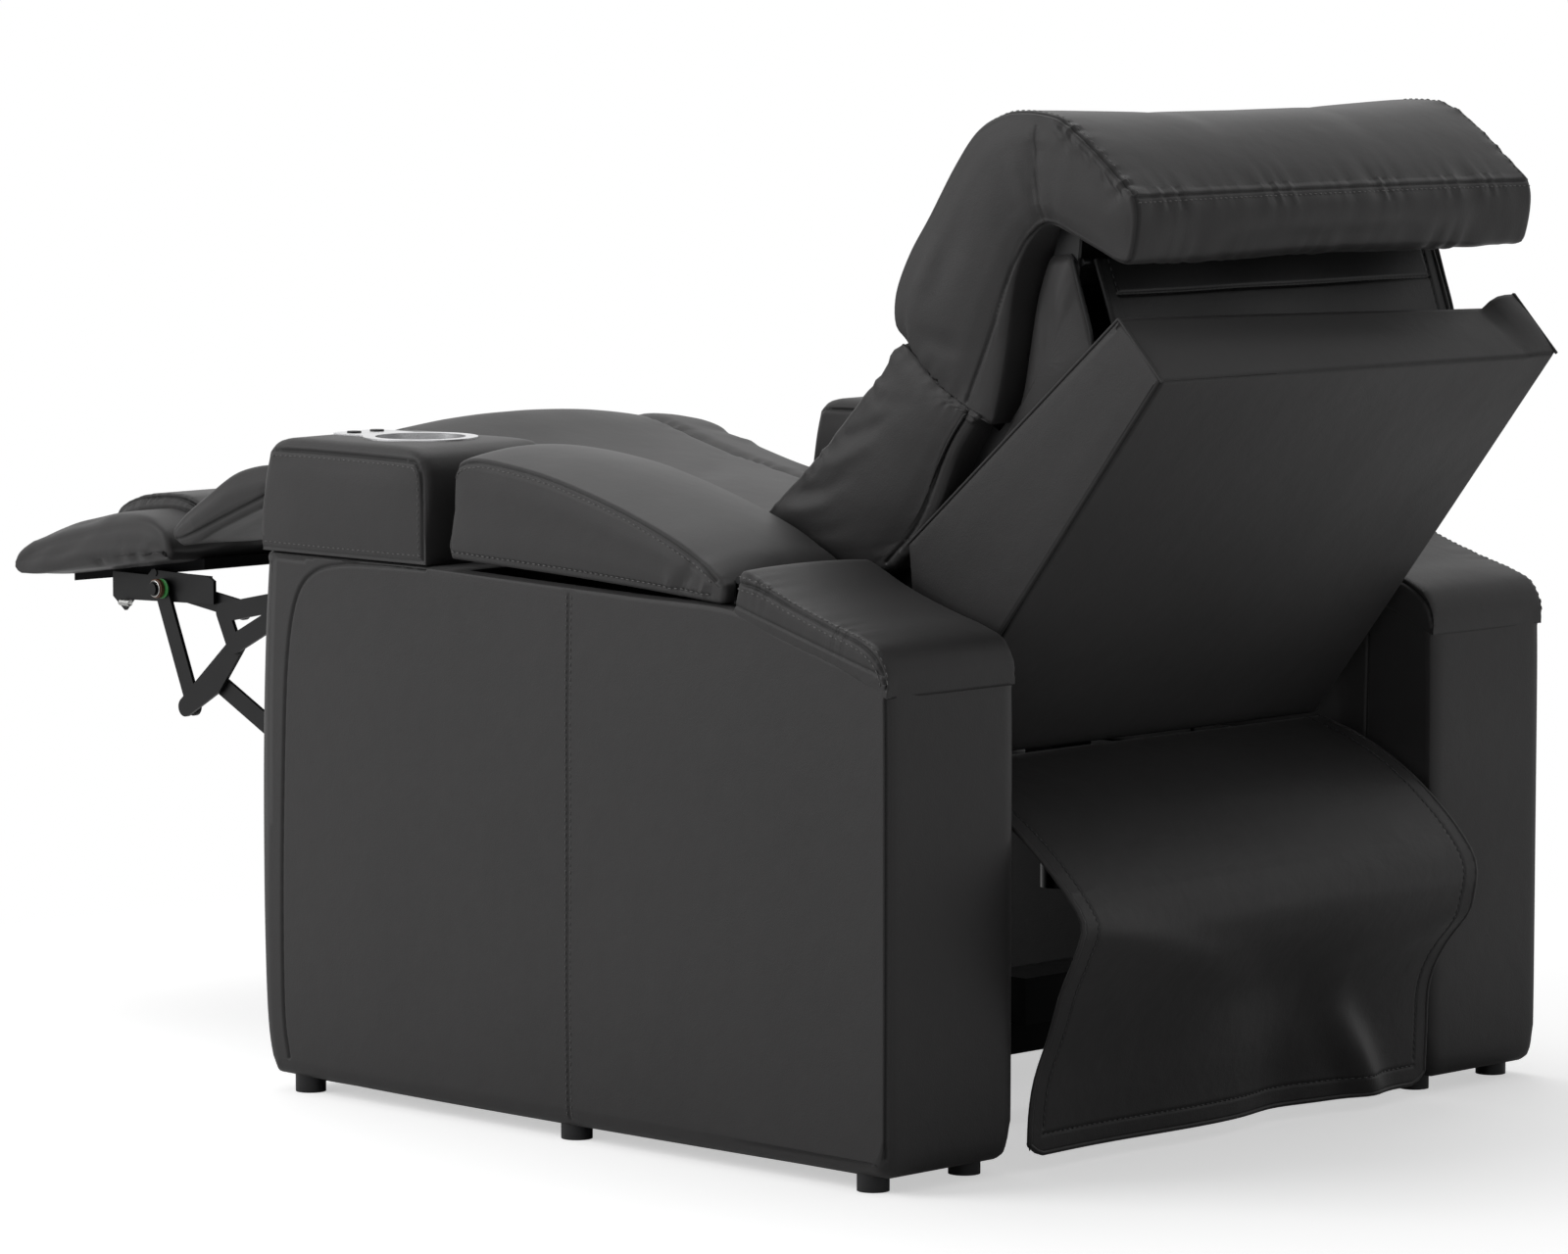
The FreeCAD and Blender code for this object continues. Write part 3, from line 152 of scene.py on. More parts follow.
class Shading:
    """The nodes of one material, or of the world."""

    def __init__(self, owner):
        owner.use_nodes = True
        self.owner = owner
        self.nodes = owner.node_tree.nodes
        self.where = self.node("TexCoord").outputs["Object"]

    def node(self, kind, inputs=(), **options):
        """A new node. Each input is a plain value or another node's output."""
        made = self.nodes.new("ShaderNode" + kind)
        for option, value in options.items():
            setattr(made, option, value)
        self.feed(made, inputs)
        return made

    def feed(self, node, inputs):
        for socket, value in dict(inputs).items():
            if isinstance(value, bpy.types.NodeSocket):
                self.owner.node_tree.links.new(value, node.inputs[socket])
            else:
                node.inputs[socket].default_value = value

    def surface(self, inputs):
        """Sets the main shader and gives back the finished material."""
        self.feed(self.nodes["Principled BSDF"], inputs)
        return self.owner

    def noise(self, scale, detail=3.0, stretch=None):
        where = self.where
        if stretch:
            where = self.node("Mapping", {"Vector": where, "Scale": stretch}).outputs["Vector"]
        return self.node("TexNoise", {"Scale": scale, "Detail": detail, "Vector": where}).outputs["Fac"]

    def bump(self, height, distance, strength, before=None):
        inputs = {"Distance": distance, "Strength": strength, "Height": height}
        if before:
            inputs["Normal"] = before
        return self.node("Bump", inputs).outputs["Normal"]

    def spread(self, value, low, high, start=0.3, end=0.7, **options):
        """Maps the middle of a pattern onto a range."""
        return self.node("MapRange", {"From Min": start, "From Max": end, "To Min": low, "To Max": high,
                                      "Value": value}, **options).outputs["Result"]

    def tinted(self, colour, share):
        """A colour times a value."""
        return self.node("VectorMath", {0: colour, "Scale": share}, operation="SCALE").outputs["Vector"]

    def sum_of(self, first, second, **options):
        return self.node("Math", {0: first, 1: second}, **options).outputs["Value"]

    def times(self, first, second):
        return self.sum_of(first, second, operation="MULTIPLY")

    def seen_ray(self):
        """The kinds of ray, and a one for those from the camera, off a mirror or through a clear thing."""
        rays = self.node("LightPath").outputs
        mirrored = self.sum_of(rays["Is Camera Ray"], rays["Is Glossy Ray"], use_clamp=True)
        return rays, self.sum_of(mirrored, rays["Is Transmission Ray"], use_clamp=True)

    def mix(self, share, first, second, output):
        mixed = self.node("MixShader", {"Fac": share, 1: first, 2: second})
        self.feed(self.nodes[output], {"Surface": mixed.outputs["Shader"]})


def leather(name, colour, roughness, crease=1.0):
    """Semi-matt leather: fine pebbled grain, faint creasing, darker in its seams."""
    paint = Shading(bpy.data.materials.new(name))
    look = settings("leather")
    grain = paint.node("TexVoronoi", {"Scale": 1 / look.grain, "Vector": paint.where}, feature="SMOOTH_F1")
    pores = paint.noise(2600.0, 2.0)
    creases = paint.noise(42.0, 4.0)
    patches = paint.noise(5.0)
    normal = paint.bump(creases, 0.0012 * crease, 0.35)
    normal = paint.bump(grain.outputs["Distance"], look.grain_height, 0.8, normal)
    # Painted shade: the seam attribute darkens the colour down to 0.22 in the grooves.
    seam = paint.node("Attribute", attribute_name=PAINTED_SEAM_SHADE).outputs["Fac"]
    mottle = paint.times(paint.spread(patches, 0.93, 1.07), paint.spread(creases, 0.97, 1.03))
    shade = paint.times(mottle, paint.spread(seam, 1.0, 0.22, 0.0, 1.0))
    return paint.surface({
        "Normal": paint.bump(pores, 0.00004, 0.5, normal),
        "Base Color": paint.tinted(colour, shade),
        "Roughness": paint.spread(patches, roughness - 0.04, roughness + 0.05),
        "Specular IOR Level": 0.2, "Sheen Weight": 0.04, "Sheen Roughness": 0.6,
    })


def thread(name, colour):
    """Twisted sewing thread."""
    paint = Shading(bpy.data.materials.new(name))
    twist = paint.noise(1800.0, 1.0)
    return paint.surface({"Base Color": paint.tinted(colour, paint.spread(twist, 0.7, 1.3)),
                          "Normal": paint.bump(twist, 0.0002, 0.6), "Roughness": 0.62})


def painted(name, colour, roughness, metal=0.0, speck=900.0, gloss=0.5):
    """Paint, plastic or metal with fine speckle and slightly rubbed patches."""
    paint = Shading(bpy.data.materials.new(name))
    broad = paint.noise(28.0, 4.0)
    return paint.surface({
        "Base Color": paint.tinted(colour, paint.spread(broad, 0.8, 1.2)),
        "Roughness": paint.spread(broad, roughness - 0.07, roughness + 0.07),
        "Normal": paint.bump(paint.noise(speck, 2.0), 0.00006, 0.5),
        "Metallic": metal, "Specular IOR Level": gloss,
    })


def brushed(name, colour):
    """Brushed metal."""
    paint = Shading(bpy.data.materials.new(name))
    lines = paint.noise(1.0, 2.0, (40.0, 1500.0, 1500.0))
    return paint.surface({
        "Base Color": paint.tinted(colour, paint.spread(lines, 0.88, 1.1)),
        "Roughness": paint.spread(lines, 0.27, 0.4),
        "Normal": paint.bump(lines, 0.00003, 0.5), "Metallic": 1.0,
    })


def woven(name, colour):
    """Elastic webbing: two crossed waves."""
    paint = Shading(bpy.data.materials.new(name))
    weave = paint.times(*(paint.node("TexWave", {"Scale": 130.0, "Vector": paint.where},
                                     bands_direction=direction).outputs["Fac"] for direction in ("X", "Z")))
    return paint.surface({"Base Color": paint.tinted(colour, paint.spread(weave, 0.7, 1.25)),
                          "Normal": paint.bump(weave, 0.0006, 0.7), "Roughness": 0.85})


def wood(name, colour):
    """Raw plywood with long grain."""
    paint = Shading(bpy.data.materials.new(name))
    grain = paint.noise(1.0, 5.0, (9.0, 140.0, 240.0))
    return paint.surface({"Base Color": paint.tinted(colour, paint.spread(grain, 0.7, 1.2)),
                          "Normal": paint.bump(grain, 0.0003, 0.4), "Roughness": 0.7})


def finish(name):
    """The material of that name, made at its first use."""
    made = bpy.data.materials.get(name)
    if made:
        return made
    look = settings("leather")
    maker, values, options = {
        "charcoal_leather": (leather, (look.colour, look.roughness), {}),
        "flap_leather": (leather, (look.colour, look.roughness, 2.0), {}),
        "black_leather": (leather, (look.lining, 0.42), {}),
        "sewing_thread": (thread, (look.thread,), {}),
        "black_thread": (thread, ((0.035, 0.035, 0.036),), {}),
        "frame_paint": (painted, ((0.006, 0.006, 0.0065), 0.4), {"gloss": 0.22}),
        "zinc_steel": (painted, ((0.56, 0.56, 0.55), 0.32, 1.0), {}),
        "brushed_cup": (brushed, ((0.62, 0.62, 0.63),), {}),
        "black_plastic": (painted, ((0.014, 0.014, 0.015), 0.5), {"speck": 700.0, "gloss": 0.3}),
        "white_nylon": (painted, ((0.62, 0.6, 0.54), 0.45), {}),
        "raw_board": (wood, ((0.36, 0.24, 0.13),), {}),
        "elastic_webbing": (woven, ((0.05, 0.05, 0.05),), {}),
        "liner_felt": (painted, ((0.008, 0.008, 0.0085), 0.9), {"speck": 1600.0, "gloss": 0.1}),
        "brown_bush": (painted, ((0.09, 0.035, 0.015), 0.5), {}),
        "green_washer": (painted, ((0.02, 0.16, 0.03), 0.4), {}),
    }[name]
    return maker(name, *values, **options)


# Mesh helpers

def alone(item=None):
    """Deselects everything, then selects and activates the item if there is one."""
    for other in bpy.context.view_layer.objects:
        other.select_set(False)
    if item:
        item.select_set(True)
        bpy.context.view_layer.objects.active = item


def smooth(item):
    item.data.polygons.foreach_set("use_smooth", [True] * len(item.data.polygons))


def numbers_of(group, name, width=3, kind=float):
    """One attribute of a mesh's vertices or edges, as rows."""
    values = np.empty(len(group) * width, kind)
    group.foreach_get(name, values)
    return values.reshape(-1, width)


def path(*sizes):
    """Points of a side view, from pairs of Y and Z in millimetres."""
    metres = [size / 1000 for size in sizes]
    return list(zip(metres[::2], metres[1::2]))


def spaced(points, count):
    """count + 1 evenly spaced points on a smooth line through the given ones."""
    p = np.array(points, float)
    if len(p) > 2:
        p = np.vstack([2 * p[0] - p[1], p, 2 * p[-1] - p[-2]])
        t = np.linspace(0, 1, 12, endpoint=False)[:, None]
        runs = []
        for a, b, c, d in zip(p[:-3], p[1:-2], p[2:-1], p[3:]):
            runs.append(0.5 * (2 * b + (c - a) * t + (2 * a - 5 * b + 4 * c - d) * t ** 2
                               + (3 * b - a - 3 * c + d) * t ** 3))
        p = np.vstack(runs + [p[-2:-1]])
    steps = np.concatenate([[0.0], np.cumsum(np.linalg.norm(np.diff(p, axis=0), axis=1))])
    at = np.linspace(0, steps[-1], count + 1)
    return np.column_stack([np.interp(at, steps, p[:, k]) for k in range(p.shape[1])])


def reach_of(points):
    return float(np.linalg.norm(np.diff(np.array(points, float), axis=0), axis=1).sum())


def every(step, points):
    """The same line with a point about every step."""
    return spaced(points, max(round(reach_of(points) / step), 4))


def mesh_object(name, verts, faces):
    """A new object at the origin, with its faces turned outwards."""
    mesh = bpy.data.meshes.new(name)
    mesh.from_pydata([tuple(v) for v in verts], [], faces)
    item = bpy.data.objects.new(name, mesh)
    bpy.context.scene.collection.objects.link(item)
    work = bmesh.new()
    work.from_mesh(mesh)
    bmesh.ops.remove_doubles(work, verts=work.verts, dist=1e-6)
    bmesh.ops.recalc_face_normals(work, faces=work.faces)
    work.to_mesh(mesh)
    work.free()
    smooth(item)
    return item


def everywhere(y, z):
    return np.ones_like(y)


def upholstery(name, width, side, rim, ease=everywhere, crown=0.0, crown_ease=None, bulge=0.0, pitch=None):
    """A closed padded form in leather. Four runs go round its side view: the bottom to the rear, up the
    rear, the top to the front, and down the front. Its sides are rounded by the rim and may bulge."""
    pitch = pitch or settings("pads").pitch
    x_low, x_high = width
    bottom, rear, top, front = (side[run] for run in ("bottom", "rear", "top", "front"))
    along = max(round(max(reach_of(bottom), reach_of(top)) / pitch), 6)
    upward = max(round(max(reach_of(rear), reach_of(front)) / pitch), 4)
    runs = [spaced(bottom, along), spaced(rear, upward), spaced(top, along), spaced(front, upward)]
    loop = np.vstack([run[:-1] for run in runs])
    tangent = np.roll(loop, -1, axis=0) - np.roll(loop, 1, axis=0)
    tangent /= np.linalg.norm(tangent, axis=1)[:, None] + 1e-12
    inward = np.column_stack([-tangent[:, 1], tangent[:, 0]])
    rim_share = ease(loop[:, 0], loop[:, 1])[:, None]
    crown_share = (crown_ease or ease)(loop[:, 0], loop[:, 1])[:, None]
    half = (x_high - x_low) / 2
    middle = (x_high + x_low) / 2
    turns = np.linspace(0, math.pi / 2, 6)
    outer = [(half - rim + rim * math.sin(a), rim * (1 - math.cos(a))) for a in turns]
    inner = [(x, 0.0) for x in np.linspace(0, half - rim, max(round((half - rim) / pitch), 2) + 1)[:-1]]
    right = inner + outer
    stations = [(-x, inset) for x, inset in reversed(right) if x > 0] + right
    verts = []
    rings = []
    for x, inset in stations:
        ring = loop + inward * (rim_share * inset + crown_share * crown * (x / half) ** 2)
        rings.append(len(verts))
        verts += [(middle + x, y, z) for y, z in ring]
    around = len(loop)
    faces = []
    for first, second in zip(rings, rings[1:]):
        faces += [(first + i, first + (i + 1) % around, second + (i + 1) % around, second + i)
                  for i in range(around)]
    for start, sign in ((rings[0], -1), (rings[-1], 1)):
        ring = np.array(verts[start:start + around])
        corners = [0, along, along + upward, 2 * along + upward]
        low = ring[0:along + 1]
        right_side = ring[along:along + upward + 1]
        high = ring[along + upward:2 * along + upward + 1][::-1]
        left_side = np.vstack([ring[2 * along + upward:], ring[:1]])[::-1]
        grid = {}
        for i in range(along + 1):
            grid[i, 0] = start + i
            grid[i, upward] = start + 2 * along + upward - i
        for j in range(upward + 1):
            grid[along, j] = start + along + j
            grid[0, j] = start + (2 * along + 2 * upward - j) % around
        for i in range(1, along):
            u = i / along
            for j in range(1, upward):
                v = j / upward
                place = ((1 - v) * low[i] + v * high[i] + (1 - u) * left_side[j] + u * right_side[j]
                         - (1 - u) * (1 - v) * ring[corners[0]] - u * (1 - v) * ring[corners[1]]
                         - u * v * ring[corners[2]] - (1 - u) * v * ring[corners[3]])
                fullness = min(1.0, 4 * u * (1 - u) * 1.6) * min(1.0, 4 * v * (1 - v) * 1.3)
                grid[i, j] = len(verts)
                verts.append((place[0] + sign * bulge * fullness, place[1], place[2]))
        for i in range(along):
            for j in range(upward):
                faces.append((grid[i, j], grid[i + 1, j], grid[i + 1, j + 1], grid[i, j + 1]))
    return start_finish(mesh_object(name, verts, faces))


def coordinates(item):
    return numbers_of(item.data.vertices, "co")


def put_back(item, places):
    item.data.vertices.foreach_set("co", places.ravel())
    item.data.update()


def nearest_on(lines, places, reach):
    """For each place: its distance to the nearest line, which line, and how far along it."""
    points = [(number, share, point) for number, line in enumerate(lines)
              for share, point in zip(np.linspace(0, 1, len(line)), line)]
    tree = KDTree(len(points))
    for index, (number, share, point) in enumerate(points):
        tree.insert(point, index)
    tree.balance()
    low = np.min([line.min(axis=0) for line in lines], axis=0) - reach
    high = np.max([line.max(axis=0) for line in lines], axis=0) + reach
    found = {}
    for index in np.nonzero(((places > low) & (places < high)).all(axis=1))[0]:
        spot, hit, distance = tree.find(places[index])
        if distance < reach:
            found[int(index)] = (distance, points[hit][0], points[hit][1])
    return found


def crease(item, folds):
    """Raises or presses lines into a soft surface. A fold is its points, width, height and end fade."""
    for points, width, height, fade in folds:
        places = coordinates(item)
        line = every(0.003, points)
        normals = numbers_of(item.data.vertices, "normal")
        for index, (distance, number, share) in nearest_on([line], places, width * 2.6).items():
            end = min(share, 1 - share) / fade if fade > 0 else 1.0
            places[index] += normals[index] * height * math.exp(-(distance / width) ** 2) * min(end, 1.0)
        put_back(item, places)


def ruffle(item, points, reach, height, pitch, seed):
    """Small gathers at right angles to a seam, fading away from it."""
    places = coordinates(item)
    length = reach_of(points)
    line = every(0.003, points)
    normals = numbers_of(item.data.vertices, "normal")
    for index, (distance, number, share) in nearest_on([line], places, reach * 2).items():
        run = share * length / pitch * 2 * math.pi
        wave = math.sin(run + 1.7 * math.sin(run * 0.31 + seed)) * (0.6 + 0.4 * math.sin(run * 0.17 + 2 * seed))
        fall = math.exp(-(distance / reach) ** 2) * min(1.0, distance / (0.3 * reach) + 0.25)
        places[index] += normals[index] * height * wave * fall
    put_back(item, places)


HELD_REACH = 0.009
EVENING_ROUNDS = 10


def evened(item, move, still, rounds):
    """Averages each vertex's shift with its neighbours', so that only broad forms stay."""
    ends = numbers_of(item.data.edges, "vertices", 2, int)
    count = np.bincount(ends.ravel(), minlength=len(move))[:, None]
    for turn in range(rounds):
        total = np.zeros_like(move)
        np.add.at(total, ends[:, 0], move[ends[:, 1]])
        np.add.at(total, ends[:, 1], move[ends[:, 0]])
        move = 0.5 * move + 0.5 * total / np.maximum(count, 1)
        move[still] = 0.0
    return move


def swell(item, held, cap, pressure_share, growth=0.0):
    """Blows a padded piece up as cloth that its seams hold, and limits how far it moves."""
    pads = settings("pads")
    before = coordinates(item)
    group = item.vertex_groups.new(name="held")
    still = list(nearest_on([every(0.004, line) for line in held], before, HELD_REACH))
    group.add(still, 1.0, "REPLACE")
    alone(item)
    cloth = item.modifiers.new("cloth", "CLOTH")
    cloth.settings.vertex_group_mass = "held"
    cloth.settings.use_pressure = True
    cloth.settings.uniform_pressure_force = pads.pressure * pressure_share
    cloth.settings.effector_weights.gravity = 0.0
    cloth.settings.shrink_min = -growth
    cloth.settings.quality = 4
    cloth.settings.bending_stiffness = 0.4
    cloth.collision_settings.use_collision = False
    for number in range(1, pads.frames + 1):
        bpy.context.scene.frame_set(number)
    shaped = item.evaluated_get(bpy.context.evaluated_depsgraph_get())
    after = numbers_of(shaped.data.vertices, "co")
    item.modifiers.remove(cloth)
    bpy.context.scene.frame_set(1)
    move = after - before
    move[~np.isfinite(move).all(axis=1)] = 0.0
    move = evened(item, move, still, EVENING_ROUNDS)
    far = np.linalg.norm(move, axis=1)
    limit = cap * np.tanh(far / cap) / np.maximum(far, 1e-9)
    put_back(item, before + move * limit[:, None])
    item.vertex_groups.clear()


def stitches(surface, line, offset):
    """Vertices and faces of one row of thread beside a line on a surface."""
    sewing = settings("sewing")
    step = sewing.stitch + sewing.gap
    count = max(round(reach_of(line) / step), 1)
    marks = spaced(line, count * 4)
    verts = []
    faces = []
    for number in range(count):
        start, end = marks[number * 4], marks[number * 4 + 3]
        centre = (start + end) / 2
        place, normal, face, distance = surface.find_nearest(Vector(centre))
        if place is None:
            continue
        run = Vector(end - start)
        run -= normal * run.dot(normal)
        if run.length < 1e-6:
            continue
        run.normalize()
        across = normal.cross(run)
        place, normal, face, distance = surface.find_nearest(place + across * offset)
        radius = sewing.thread
        first = len(verts)
        verts.append(place - run * sewing.stitch / 2 - normal * radius)
        for share in (-0.28, 0.28):
            for quarter in range(4):
                angle = quarter * math.pi / 2
                verts.append(place + run * sewing.stitch * share + normal * radius * (0.25 + math.cos(angle))
                             + across * radius * 1.2 * math.sin(angle))
        verts.append(place + run * sewing.stitch / 2 - normal * radius)
        for quarter in range(4):
            following = (quarter + 1) % 4
            faces.append((first, first + 1 + following, first + 1 + quarter))
            faces.append((first + 1 + quarter, first + 1 + following, first + 5 + following, first + 5 + quarter))
            faces.append((first + 5 + quarter, first + 5 + following, first + 9))
    return verts, faces


SEAM_MESH_SIZES = (0.0045, 0.0022, 0.0012)


def sew(item, seams, thread_finish="sewing_thread"):
    """Cuts grooves along seams and lays stitches beside them.
    A seam is its points, its depth as a share of the usual groove, and any offsets of stitch rows."""
    sewing = settings("sewing")
    surface = BVHTree.FromObject(item, bpy.context.evaluated_depsgraph_get())
    lines = []
    for points, depth, *rows in seams:
        lines.append(np.array([surface.find_nearest(Vector(point))[0] for point in every(0.004, points)]))
    work = bmesh.new()
    work.from_mesh(item.data)
    reach = sewing.groove * 3.2
    dense = [every(0.0012, line) for line in lines]
    for size in SEAM_MESH_SIZES:
        work.verts.ensure_lookup_table()
        places = np.array([v.co for v in work.verts])
        near = nearest_on(dense, places, reach + size * 1.6)
        edges = {edge for index in near for edge in work.verts[index].link_edges
                 if edge.calc_length() > size}
        if edges:
            bmesh.ops.subdivide_edges(work, edges=list(edges), cuts=1, use_grid_fill=True)
    work.normal_update()
    # Painted shade: stored in the seam attribute, strongest in the middle of each groove.
    layer = work.verts.layers.float.get(PAINTED_SEAM_SHADE) or work.verts.layers.float.new(PAINTED_SEAM_SHADE)
    work.verts.ensure_lookup_table()
    places = np.array([v.co for v in work.verts])
    for index, (distance, number, share) in nearest_on(dense, places, reach).items():
        vert = work.verts[index]
        depth = seams[number][1]
        fall = math.exp(-(distance / sewing.groove) ** 2)
        vert[layer] = max(vert[layer], fall * min(1.0, abs(depth)))
        vert.co -= vert.normal * sewing.depth * depth * fall
    bmesh.ops.triangulate(work, faces=[face for face in work.faces if len(face.verts) > 4])
    work.to_mesh(item.data)
    work.free()
    verts = []
    faces = []
    for line, (points, depth, *rows) in zip(lines, seams):
        for offset in rows:
            more, more_faces = stitches(surface, line, offset * sewing.row)
            faces += [tuple(index + len(verts) for index in face) for face in more_faces]
            verts += more
    smooth(item)
    if not verts:
        return
    sewn = mesh_object(item.name + "_thread", verts, faces)
    sewn.data.materials.append(finish(thread_finish))
    joined(item, [sewn])


def joined(item, others):
    """Joins others into item; each keeps its finish."""
    alone(item)
    for other in others:
        other.select_set(True)
    bpy.ops.object.join()


def tube(points, radius, look):
    """A thin welt along a line."""
    curve = bpy.data.curves.new("welt", "CURVE")
    curve.dimensions = "3D"
    curve.bevel_depth = radius
    curve.bevel_resolution = 3
    curve.use_fill_caps = True
    line = curve.splines.new("POLY")
    line.points.add(len(points) - 1)
    line.points.foreach_set("co", np.column_stack([points, np.ones(len(points))]).ravel())
    drawn = bpy.data.objects.new("welt", curve)
    bpy.context.scene.collection.objects.link(drawn)
    alone(drawn)
    bpy.ops.object.convert(target="MESH")
    made = bpy.context.view_layer.objects.active
    smooth(made)
    return start_finish(made, look)


def cut_out(item, low, high):
    """Takes a box out of a piece."""
    alone()
    middle = (Vector(low) + Vector(high)) / 2
    bpy.ops.mesh.primitive_cube_add(size=1.0, location=middle, scale=Vector(high) - Vector(low))
    tool = bpy.context.view_layer.objects.active
    bpy.ops.object.transform_apply(location=True, rotation=True, scale=True)
    subtract(item, tool)


def drill(item, x, y, low, high, radius, corners=64):
    """Takes an upright cylinder out of a piece."""
    alone()
    bpy.ops.mesh.primitive_cylinder_add(vertices=corners, radius=radius, depth=high - low,
                                        location=(x, y, (low + high) / 2))
    tool = bpy.context.view_layer.objects.active
    bpy.ops.object.transform_apply(location=True, rotation=True, scale=True)
    subtract(item, tool)


def subtract(item, tool):
    alone(item)
    cutter = item.modifiers.new("cutter", "BOOLEAN")
    cutter.operation = "DIFFERENCE"
    cutter.solver = "EXACT"
    cutter.object = tool
    bpy.ops.object.modifier_apply(modifier="cutter")
    bpy.data.objects.remove(tool, do_unlink=True)


def dress(item, body, nodes, rides=True):
    """Gives a piece its slot, its body and the nodes it stands for."""
    if rides:
        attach(item, body)
    if nodes:
        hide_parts(*nodes)


def start_finish(item, look="charcoal_leather"):
    item.data.materials.append(finish(look))
    return item


def side_line(sign, points, x):
    """Points of the side view, set at a distance to one side."""
    return [(sign * x, y, z) for y, z in points]


def both(points, x):
    """The same line on both sides."""
    return [side_line(sign, points, x) for sign in (1, -1)]


def ribs(points, half, shares):
    """Parallel lines at shares of the half width, on both sides."""
    return [side_line(sign, points, x * half) for sign in (1, -1) for x in shares]


def side_folds(item, sign, x, folds):
    """Creases one side of a piece. Each fold is its points in side view, width, height and end fade."""
    crease(item, [(side_line(sign, points, x), *rest) for points, *rest in folds])


def span(sign, x):
    """Low and high X of a piece that lies between two distances to one side."""
    low, high = x
    return (low, high) if sign > 0 else (-high, -low)


# Arms

ARM_X = (ARM_LOW.x, ARM_HIGH.x)
ARM_SIDE = {
    "bottom": path(-409, 16.5, -200, 14, 100, 14, 411, 15.5),
    "rear": path(411, 15.5, 419, 24, 421.5, 60, 421.5, 250, 421.5, 400, 420.5, 465.5),
    "top": path(420.5, 465.5, 360, 482, 290, 501.5, 222, 520.5, 100, 523.5, -50, 527.5, -150, 530.5, -200, 531.5,
                -300, 531.5, -418.5, 531.5),
    "front": path(-418.5, 531.5, -424.5, 460, -428.5, 380, -430.5, 280, -430, 160, -426.5, 75, -419.5, 34, -409, 16.5),
}
ARM_RIM = 0.016
FRONT_SEAM = path(-186, 529, -240, 528.5, -302, 526, -340, 518, -364, 500, -377, 470, -384, 430, -388, 380, -392, 280,
                  -394, 180, -393, 80, -386, 35)
SIDE_SEAM_Y = 0.012


def off_the_top(y, z):
    """Full rounding on the front and bottom, little on the rear, next to none where another piece sits on top."""
    behind = np.clip((y - 0.38) / 0.03, 0.0, 1.0) * np.clip((z - 0.02) / 0.03, 0.0, 1.0)
    return np.where((z > 0.455) & (y > -0.415), 0.12, 1.0 - 0.7 * behind)


def make_arm_cover(side, sign):
    item = upholstery("arm_cover_" + side, span(sign, ARM_X), ARM_SIDE, rim=ARM_RIM, ease=off_the_top,
                      bulge=0.0025, pitch=0.009)
    well_x = span(sign, (LINER_LOW.x - 0.0006, LINER_HIGH.x + 0.0006))
    cut_out(item, (well_x[0], LINER_LOW.y - 0.0006, LINER_LOW.z - 0.02),
            (well_x[1], LINER_HIGH.y + 0.0006, ARM_HIGH.z + 0.05))
    outer = ARM_HIGH.x
    inner = ARM_LOW.x
    rear_edge = path(419.5, 462, 420.5, 380, 420.5, 200, 419.5, 35)
    seams = [
        (side_line(sign, FRONT_SEAM, outer), 1.0),
        (side_line(sign, [(SIDE_SEAM_Y, 0.518), (SIDE_SEAM_Y, 0.3), (SIDE_SEAM_Y - 0.002, 0.022)], outer), 0.45,
         -0.55, 0.55),
        (side_line(sign, rear_edge, outer - 0.001), 1.0),
        (side_line(sign, path(340, 482, 338, 300, 338, 35), inner), 0.8),
        (side_line(sign, path(-405, 530, -416, 300, -408, 50), inner + 0.004), 0.8),
    ]
    sew(item, seams)
    dress(item, "base", ["arm_box_" + side])


BLOCK_SIDE = {
    "bottom": path(-418.5, 532.5, -300, 532.5, -184.5, 532.5),
    "rear": path(-184.5, 532.5, -184.2, 560, -184.2, 600, -185.8, 622),
    "top": path(-185.8, 622, -190, 633, -201, 641, -222, 643.7, -300, 643.8, -372, 643.8, -392, 642.5, -405, 638.5,
                -414, 630),
    "front": path(-414, 630, -418.5, 612, -421.5, 585, -421.5, 560, -418.5, 532.5),
}


def low_is_square(level, height):
    """No rounding below a level, full rounding a height above it."""
    return lambda y, z: np.clip((z - level) / height, 0.03, 1.0)


CUP_X = 0.3855
CUP_Y = -0.283
BUTTON_Y = -0.362


def make_front_pad(side, sign):
    item = upholstery("arm_front_pad_" + side, span(sign, ARM_X), BLOCK_SIDE, rim=0.013,
                      ease=low_is_square(0.55, 0.07), bulge=0.0022, pitch=0.006)
    outer = ARM_HIGH.x
    swell(item, [side_line(s, run, x) for x, s in ((outer, sign), (ARM_LOW.x, sign))
                 for run in BLOCK_SIDE.values()] + [side_line(sign, path(-300, 643.8) * 2, CUP_X)], 0.002, 0.3)
    frame_line = path(-408, 631.5, -350, 632.5, -270, 632, -206, 630.5, -196, 626, -191, 616, -189.5, 590, -189.3, 537)
    foot_line = path(-416.5, 536.5, -360, 536.2, -280, 536.2, -189.3, 536.2)
    drill(item, sign * CUP_X, CUP_Y, 0.56, 0.7, (CUP_HIGH.x - CUP_LOW.x) / 2 - 0.0085)
    for offset in (-0.015, 0.015):
        drill(item, sign * (CUP_X + offset), BUTTON_Y, 0.62, 0.7, 0.0085, 32)
    sew(item, [
        (side_line(sign, frame_line, outer), 1.0, -sign),
        (side_line(sign, foot_line, outer), 0.35, 0.9 * sign),
        (side_line(sign, frame_line, ARM_LOW.x), 0.8),
    ])
    dress(item, "base", ["arm_front_block_" + side])


